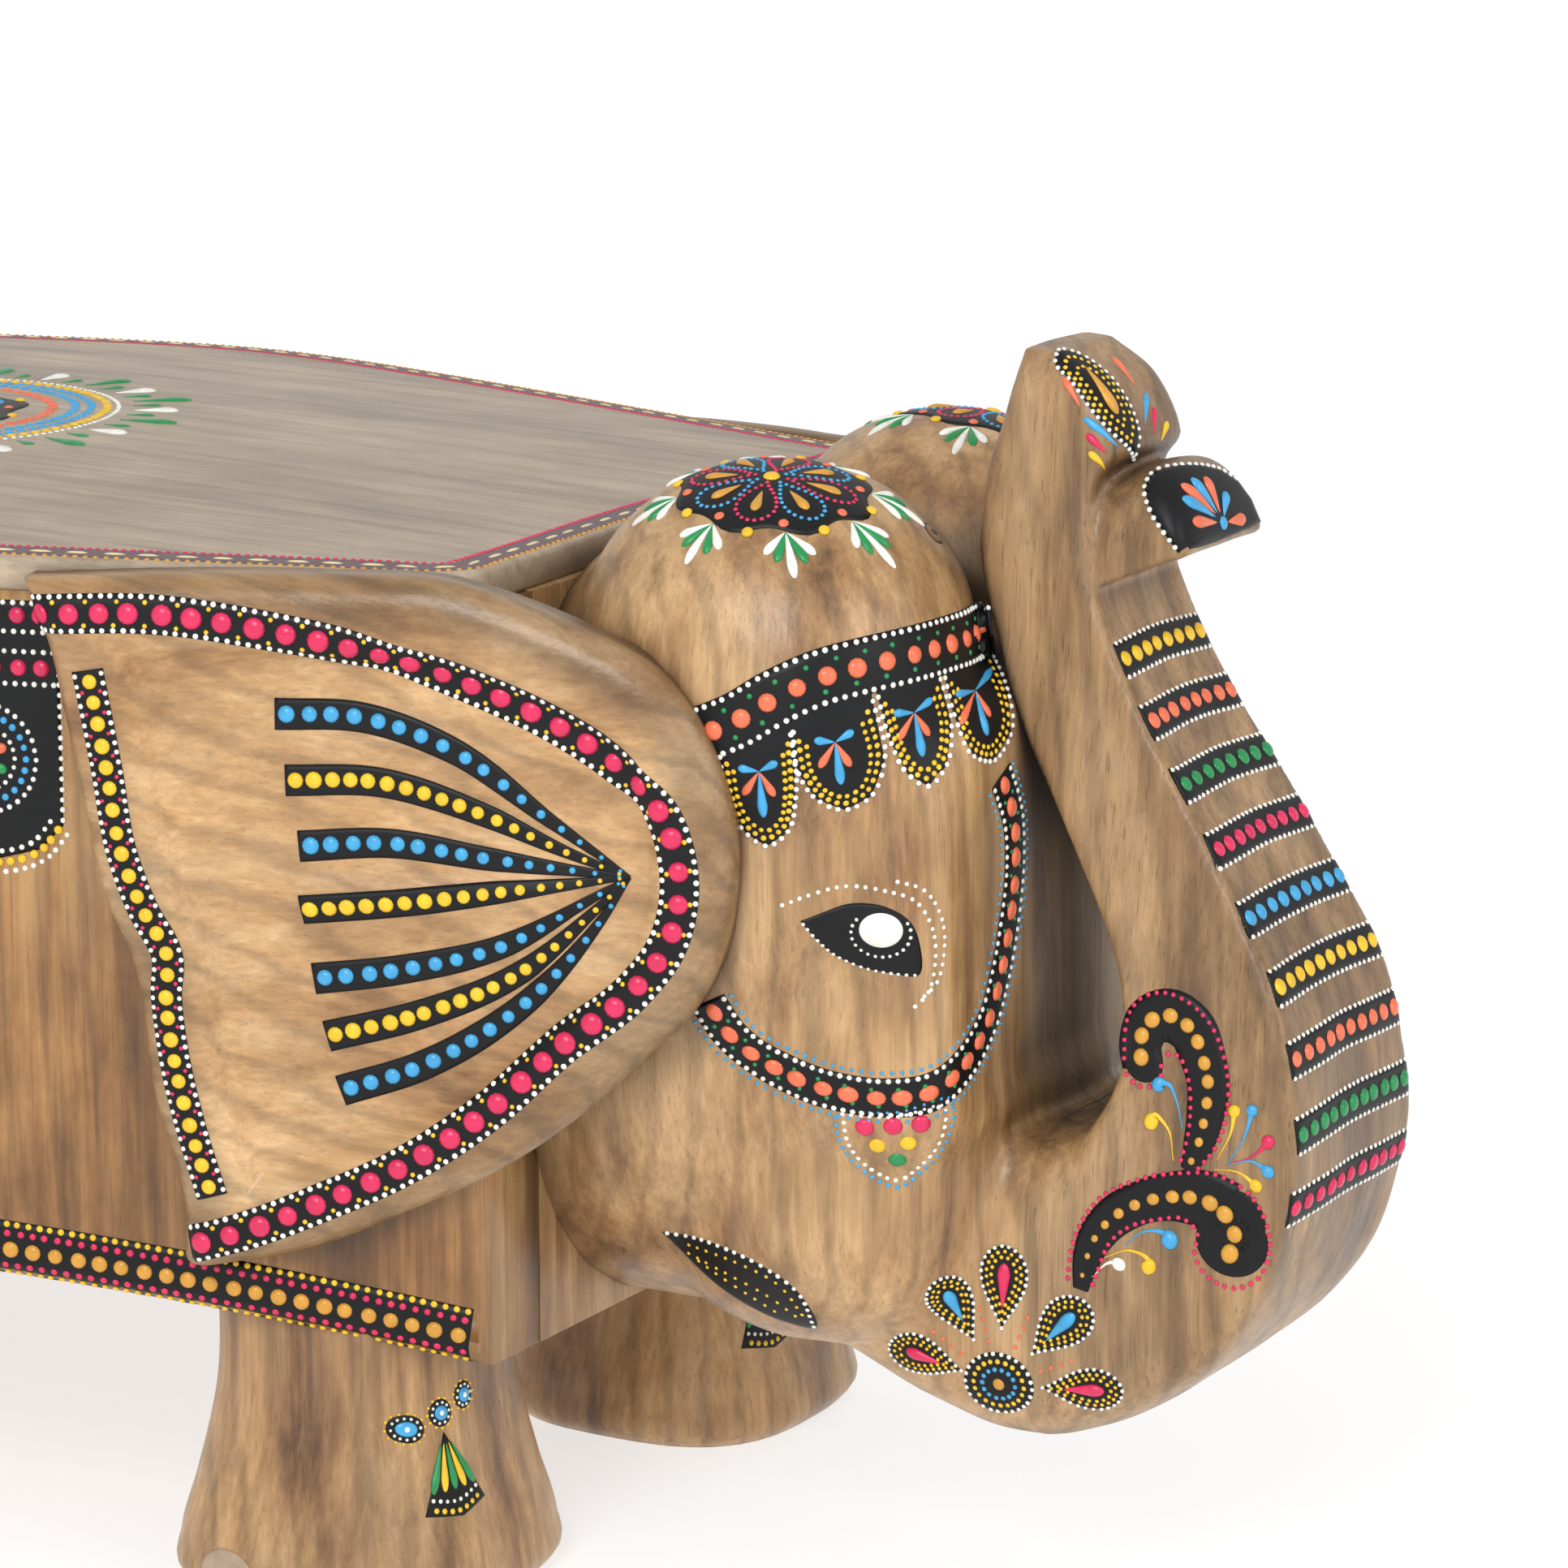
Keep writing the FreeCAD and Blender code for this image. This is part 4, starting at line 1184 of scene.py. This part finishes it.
def paintVines(sheet):
    film(sheet, face["topVine"], [17, 18.5, 20.5, 21, 20, 18.5, 17, 15, 12.5, 6])
    film(sheet, face["lowVine"], [6.5, 11.5, 15, 16.5, 17, 19, 23, 28])
    disc(sheet, (531.5, 241), 7.0)
    disc(sheet, (565, 176), 13.5)
    disc(sheet, (565, 184), 13.0, stretch=0.95)
    dots(sheet, face["topVine"], 8.4, [3.3, 3.3, 3.2, 3.0, 2.8, 2.6, 2.3, 1.9, 1.4], gold, stretch=1.1)
    dots(sheet, face["lowDots"], 8.2, [1.0, 1.4, 1.8, 2.2, 2.5, 2.8, 3.1, 3.4, 3.5], gold, stretch=1.1)
    for line in ("topEdge", "topInner", "lowEdge"):
        dots(sheet, face[line], 3.7, 1.05, pink, base=0.25)
    curls = [([(546, 218), (543.5, 229), (540.5, 234.5), (537.5, 234.5), (536.3, 231)], 5.6, blue),
             ([(542.7, 205), (540, 218), (535.5, 222), (533.5, 216)], 5.8, yellow),
             ([(559, 208), (564, 219), (565.6, 230)], 5.0, yellow),
             ([(563, 207), (569, 218), (572.4, 231)], 4.8, blue),
             ([(564, 207), (572, 211), (579.5, 219.5)], 5.4, pink),
             ([(563, 206.5), (572, 209), (580, 204.5)], 5.0, blue),
             ([(558, 204), (567, 204), (575.5, 198)], 5.0, yellow),
             ([(525, 169), (532, 175.5), (539, 176), (543.5, 170.5)], 7.0, blue),
             ([(517, 162.5), (527, 167), (533, 165), (533.8, 158.5)], 6.2, yellow),
             ([(512, 153.5), (520, 161), (525, 160)], 5.2, white)]
    for path, width, group in curls:
        curl(sheet, path, width, group)


# heights and colours of the bands across the trunk's front
trunkBands = [(396.5, yellow), (373.5, coral), (350.5, green), (327, pink), (302, blue), (277, yellow),
              (250, coral), (221, green), (192, pink)]


def paintTrunkFront():
    snout = bpy.data.objects["trunkCarving"]
    sheet = drape(snout, None, (0, 1, 0), (0, 0, 1), (0, 0, 0), low=(-75, 120), high=(75, 425), step=1.5)
    for height, group in trunkBands:
        half = np.interp(height, [190, 250, 323, 400], [57.5, 53, 47, 40]) - 3.5
        path = [(-half, height - 1.5), (0, height), (half, height - 1.5)]
        film(sheet, path, 14)
        dots(sheet, path, 9.8, 3.4, group)
        for offset in (-7.0, 7.0):
            dots(sheet, path, 4.0, 1.05, white, offset, base=0.2)
    finishPaint("trunkFront", False)


def paintTip():
    n = np.array([0.56, -0.72, 0.41])
    a = np.array([0.72, 0.56, 0]) / math.hypot(0.72, 0.56)
    snout = bpy.data.objects["trunkCarving"]
    sheet = drape(snout, None, a, np.cross(n, a), (615, -5, 475), low=(-70, -60), high=(70, 60), step=1.0)

    def flat(points):
        return flatten(sheet, np.array(points, float))

    leaf = flat([(617, -14, 471), (618, -12, 479), (615, -11, 488), (609, -11, 497), (601, -12, 505),
                 (592, -15, 510), (587, -21, 511), (589, -27, 508), (597, -29, 501), (606, -30, 491),
                 (613, -26, 481)])
    patch(sheet, leaf, centre=leaf.mean(0), rise=0.7)
    for share, group, size in ((1.0, white, 0.9), (0.8, yellow, 0.95), (0.56, yellow, 0.9)):
        dots(sheet, shrunk(leaf, share), 3.2, size, group, closed=True, base=0.7)
    drop(sheet, *flat([(597, -19, 505), (611, -19, 487)]), 5.5, gold, base=0.7)
    rightStrokes = [((608, 4, 496), (597, 6, 506), coral), ((616, -3, 482), (611, 8, 493), blue),
                    ((617.5, 2, 478), (614, 9, 487), pink), ((618, 7, 474), (617, 15, 481), yellow)]
    leftStrokes = [((603, -32, 492), (594, -30, 503), coral), ((615, -24, 475), (604, -32, 488), blue),
                   ((613, -30, 474), (606, -33, 482), pink), ((614, -31, 469), (607, -33, 475), yellow)]
    for root, crown, group in rightStrokes + leftStrokes:
        drop(sheet, *flat([root, crown]), 3.2, group, base=0.0)
    arc = flat([(647, -35, 440), (641, -35, 447), (635, -34, 455), (630, -29, 463), (629, -21, 467),
                (634, -11, 468.5), (638, 0, 467.5), (641, 12, 464.5), (644, 22, 459), (647, 29, 451),
                (649, 33, 441)])
    front = flat([(649.5, 22, 440.5), (649.5, 0, 440), (649, -22, 440)])
    heart = flat([(649, -2, 446)])[0]
    patch(sheet, np.concatenate([arc, front]), centre=heart + (-2, 6), smooth=False, rise=1.1)
    dots(sheet, arc[:9], 3.7, 1.05, white, base=0.9)
    fan = [(-15.5, -3.5, coral), (-19, 5.5, blue), (-18.5, 11.5, coral), (-13.5, 15, blue), (-7, 17, coral),
           (2.5, 13, blue), (11.5, 5, coral)]
    for across, up, group in fan:
        reach = np.array([across, up])
        drop(sheet, heart + reach * 0.2, heart + reach, 5.0, group, base=1.1)
    spots(sheet, heart, 2.8, blue, base=1.1)
    finishPaint("tip", False)


def mandala(sheet, centre, radius, tall, fans):
    # a flower of eight dotted petals on black, with a rim of coral and yellow dots and fans of drops round it
    centre = np.array(centre, float)
    turn = np.linspace(0, 2 * math.pi, 64, endpoint=False)
    edge = radius * (0.95 + 0.05 * np.cos(8 * turn))
    spread = [(-46, 0.34, white), (-24, 0.36, green), (0, 0.48, white), (24, 0.36, green), (46, 0.34, white)]
    disk = np.c_[edge * np.cos(turn), edge * np.sin(turn) * tall]
    patch(sheet, centre + disk, centre=centre, smooth=False)
    for k in range(8):
        toPetal, toGap = 45 * k + 10, 45 * k + 32
        petal = petalShape(np.zeros(2), toPetal, radius * 0.16, radius * 0.82, radius * 0.42)
        petal = petal * [1, tall] + centre
        dots(sheet, petal[::2], 2.9, 0.95, blue if k % 2 else pink, closed=True)
        out, side = polar(toPetal, tall) * radius, polar(toGap, tall) * radius
        drop(sheet, centre + out * 0.34, centre + out * 0.68, 4.4, gold)
        spots(sheet, centre + side * 0.84, 2.1, coral)
        spots(sheet, centre + out * 0.97, 2.3, yellow)
        if fans:
            root = centre + side * 0.95
            for lean, reach, group in spread:
                drop(sheet, root, root + polar(toGap + lean, tall) * radius * reach, 4.0, group, base=0.0)
    spots(sheet, centre, 3.4, yellow)


def paintDome():
    n = np.array([0.06, -0.34, 0.94])
    n /= np.linalg.norm(n)
    a = np.array([1, 0, 0]) - n * n[0]
    a /= np.linalg.norm(a)
    block = bpy.data.objects["headCarving"]
    sheet = drape(block, None, a, np.cross(n, a), (497, -90, 462), low=(-75, -75), high=(75, 75), step=1.5)
    mandala(sheet, (2, 0), 41, tall=0.86, fans=True)
    finishPaint("dome", True)
    n = np.array([0.75, -0.25, 0.612])
    a = np.array([0.25, 0.75, 0]) / math.hypot(0.25, 0.75)
    sheet = drape(block, None, a, np.cross(n, a), (549, -51, 441), low=(-20, -20), high=(20, 20), step=1.0)
    disc(sheet, (0, 0), 5.4, knot, 0.12)
    disc(sheet, (0, 0), 4.3, plug, 0.4)
    disc(sheet, (0.8, 0.5), 1.5, knot, 0.5, 1.6)
    finishPaint("forehead", True)
    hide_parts("right_forehead_plug")
    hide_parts("left_forehead_plug")


seatPattern = dict(
    rings=[(68, 7, 2.6, coral), (78, 6.5, 2.4, blue), (85, 6.5, 2.2, blue), (92, 6.5, 2.3, yellow),
           (97, 4, 1.2, white)],
    border=[(12.0, 8.0), (19.0, 4.0), (5.5, 12.0)],
)


def paintSeat():
    slab = bpy.data.objects["seat"]
    sheet = drape(slab, None, (1, 0, 0), (0, 1, 0), (0, 0, 0), low=(-415, -285), high=(415, 285), step=3.0)
    mandala(sheet, (0, 0), 58, tall=1.0, fans=False)
    for radius, pitch, size, group in seatPattern["rings"]:
        dots(sheet, circle((0, 0), radius, 24), pitch, size, group, closed=True, base=0.0)
    for k in range(24):
        out, between = polar(15 * k), polar(15 * k + 7.5)
        reach, group = (131, green) if k % 2 else (124, white)
        drop(sheet, out * 104, out * reach, 8, group, base=0.0, plump=0.18)
        drop(sheet, between * 103, between * 116, 5, green, base=0.0, plump=0.18)
    middle, inner, outer = (planLoop(inset, corner, 150) for inset, corner in seatPattern["border"])
    film(sheet, middle, 12, border, closed=True, rise=0.25)
    dots(sheet, inner, 3.6, 1.15, pink, closed=True, base=0.15)
    dots(sheet, outer, 4.2, 1.2, gold, closed=True, base=0.15)
    dots(sheet, middle, 15, 1.2, cream, closed=True, stretch=4.0, base=0.2)
    finishPaint("seat", False)


def flankSheet():
    # the flank's height map from its formulas: the plan's half width, and a quarter circle at the lower edge
    x, z = np.arange(-412, 414, 2.0), np.arange(100, 424, 2.0)
    low = archHeight(np.clip(x, -408, 408))
    corner = np.clip((low[:, None] + 12 - z[None]) / 12, 0, 1)
    depth = (halfWidth(x) - 2.2)[:, None] - 12 * (1 - np.sqrt(1 - corner**2))
    return makeSheet((1, 0, 0), (0, 0, 1), (0, 0, 0), (-412, 100), 2.0, depth)


def paintFlank():
    sheet = flankSheet()
    belly = [(x, archHeight(x) + 13.5) for x in np.linspace(-404, 404, 33)]
    innerRows = [(offset, 5.2, 1.5, pink, 1.0) for offset in (-6.8, 6.8)]
    outerRows = [(offset, 4.6, 1.35, yellow, 1.0) for offset in (-10.6, 10.6)]
    paintBand(sheet, belly, 24, [(0, 9.4, 3.3, gold, 1.0)] + innerRows + outerRows)
    paintCloth(sheet)
    finishPaint("flank", True)


cloth = dict(half=248.0, top=412.0, low=322.0, lobes=8, disc=348.0, pinkRows=(406, 385),
             whiteRows=(399.5, 391.5, 378.5, 411))


def paintCloth(sheet):
    # the saddle cloth: a black hanging with rows of dots, ringed discs and a scalloped lower edge
    half, top, low = cloth["half"], cloth["top"], cloth["low"]
    wide = 2 * half / cloth["lobes"]
    for k in range(cloth["lobes"]):
        x0 = -half + wide * k
        middle, x1 = x0 + wide / 2, x0 + wide
        edge = [(middle + 22, low - 10), (middle, low - 16), (middle - 22, low - 10)]
        outline = [(x0, top), (x1, top), (x1, low)] + edge + [(x0, low)]
        patch(sheet, outline, centre=(middle, 366), smooth=False, rise=0.4)
        lobe = [(x0, low), (middle - 22, low - 11), (middle, low - 17), (middle + 22, low - 11), (x1, low)]
        dots(sheet, lobe, 5.2, 1.9, yellow, 0.5)
        dots(sheet, lobe, 4.0, 1.15, white, -3.5, base=0.1)
        dots(sheet, lobe, 4.2, 1.15, white, 5.0)
        heart = np.array([middle, cloth["disc"]])
        for radius, group, size, pitch in ((21, white, 1.1, 3.9), (17, blue, 1.5, 4.6),
                                           (12.5, white, 1.0, 3.6)):
            dots(sheet, circle(heart, radius, 16, tall=1.05), pitch, size, group, closed=True)
        for degrees, group in ((90, green), (30, coral), (150, coral), (210, green), (330, green),
                               (270, coral)):
            drop(sheet, heart + 2 * polar(degrees), heart + 10.5 * polar(degrees), 4.4, group)
    for height in cloth["pinkRows"]:
        dots(sheet, [(-half + 2, height), (0, height), (half - 2, height)], 10, 3.4, pink)
    for height in cloth["whiteRows"]:
        dots(sheet, [(-half, height), (0, height), (half, height)], 4.1, 1.15, white)
    for x in (-half, half):
        dots(sheet, [(x, 410), (x, 360), (x, low)], 4.1, 1.15, white)


def paintLeg():
    # three round flowers over a striped tassel on the front of each leg, and a round nail on its outer side
    ends, up, origin = dict(front=1, rear=-1), (0, 0, 1), (0, 0, 0)
    for end, reach in ends.items():
        for sideName, shift in dict(right=0, left=250).items():
            post = bpy.data.objects[f"{end}_{sideName}_legCarving"]
            y = (-152 + shift) * reach
            across, low, high = (0, reach, 0), (y - 60, 5), (y + 60, 130)
            sheet = drape(post, None, across, up, origin, low, high, step=1.5)
            paintTassel(sheet, y, reach)
    finishPaint("leg", False)
    for end, reach in ends.items():
        post = bpy.data.objects[f"{end}_right_legCarving"]
        x = 304 * reach
        sheet = drape(post, None, (1, 0, 0), up, origin, low=(x - 40, 1), high=(x + 40, 60), step=1.5)
        disc(sheet, (x, 12), 11.0, nail, 0.8, 1.25)
    finishPaint("foot", True)


def paintTassel(sheet, middle, reach):
    for y, z in ((-14, 78), (0, 82), (14, 86)):
        place = np.array([middle + y * reach, z], float)
        disc(sheet, place, 5.6)
        disc(sheet, place, 3.0, blue, 1.2)
        dots(sheet, circle(place, 4.3, 8), 2.8, 0.7, white, closed=True)
        dots(sheet, circle(place, 6.2, 12), 3.4, 0.7, yellow, closed=True, base=0.1)
        spots(sheet, place, 1.2, white, base=1.2)
    skirt = [(0, 74), (6, 63), (13, 50), (16, 44), (1, 40), (-16, 43), (-12, 51), (-5, 64)]
    patch(sheet, [(middle + y * reach, z) for y, z in skirt], centre=(middle, 54), smooth=False)
    for k, group in enumerate((green, yellow, green, yellow, green)):
        lean = (k - 2) * reach
        drop(sheet, (middle + lean * 1.2, 70), (middle + lean * 5.4, 51), 3.6, group)
    for height, pitch, size, group in ((49, 3.4, 0.9, white), (45, 3.8, 1.2, yellow)):
        hem = [(middle - 13 * reach, height), (middle, height - 2.5), (middle + 13 * reach, height + 1)]
        dots(sheet, hem, pitch, size, group)


paintEar()
paintFace()
paintTrunkFront()
paintTip()
paintDome()
paintFlank()
paintLeg()
paintSeat()


def makeStage():
    # a wide flat floor, nearly as bright as the white world behind it
    mesh = bpy.data.meshes.new("floor")
    reach = 30.0
    corners = [(-reach, -reach, 0), (reach, -reach, 0), (reach, reach, 0), (-reach, reach, 0)]
    mesh.from_pydata(corners, [], [(0, 1, 2, 3)])
    floor = bpy.data.objects.new("floor", mesh)
    bpy.context.scene.collection.objects.link(floor)
    paper = bpy.data.materials.new("floorPaper")
    paper.use_nodes = True
    shader = paper.node_tree.nodes["Principled BSDF"]
    shader.inputs["Base Color"].default_value = (0.42, 0.42, 0.42, 1)
    shader.inputs["Roughness"].default_value = 0.9
    shader.inputs["Emission Color"].default_value = (1, 1, 1, 1)
    shader.inputs["Emission Strength"].default_value = 0.68
    mesh.materials.append(paper)


def addLamp(name, place, aim, size, power):
    lamp = bpy.data.lights.new(name, "AREA")
    lamp.shape = "RECTANGLE"
    lamp.size, lamp.size_y = size
    lamp.energy = power
    lampObject = bpy.data.objects.new(name, lamp)
    bpy.context.scene.collection.objects.link(lampObject)
    lampObject.location = place
    direction = Vector(aim) - Vector(place)
    lampObject.rotation_mode = "QUATERNION"
    lampObject.rotation_quaternion = direction.to_track_quat("-Z", "Y")


def makeLights():
    world = bpy.data.worlds.new("studio")
    world.use_nodes = True
    world.node_tree.nodes["Background"].inputs[0].default_value = (1, 1, 1, 1)
    world.node_tree.nodes["Background"].inputs[1].default_value = 0.72
    bpy.context.scene.world = world
    addLamp("keyLamp", (0.9, -2.7, 1.9), (0.3, 0, 0.25), (1.3, 1.3), 48)
    addLamp("frontLamp", (2.8, -0.6, 1.3), (0.3, 0, 0.25), (1.2, 1.2), 14)


def makeCamera():
    # the view from the elephant's right, a little from the front and above
    look = dict(place=(1640.8, -2055.6, 857.4), azimuth=30.04, elevation=12.76, lens=136.64)
    camera = bpy.data.cameras.new("camera")
    camera.lens = look["lens"]
    camera.sensor_width = 36
    cameraObject = bpy.data.objects.new("camera", camera)
    bpy.context.scene.collection.objects.link(cameraObject)
    cameraObject.location = Vector(np.array(look["place"]) / 1000 + seatMiddle)
    cameraObject.rotation_euler = (math.radians(90 - look["elevation"]), 0, math.radians(look["azimuth"]))
    bpy.context.scene.camera = cameraObject


makeStage()
makeLights()
makeCamera()
bpy.context.scene.view_settings.view_transform = "Standard"
print("stage, lights and camera ready")
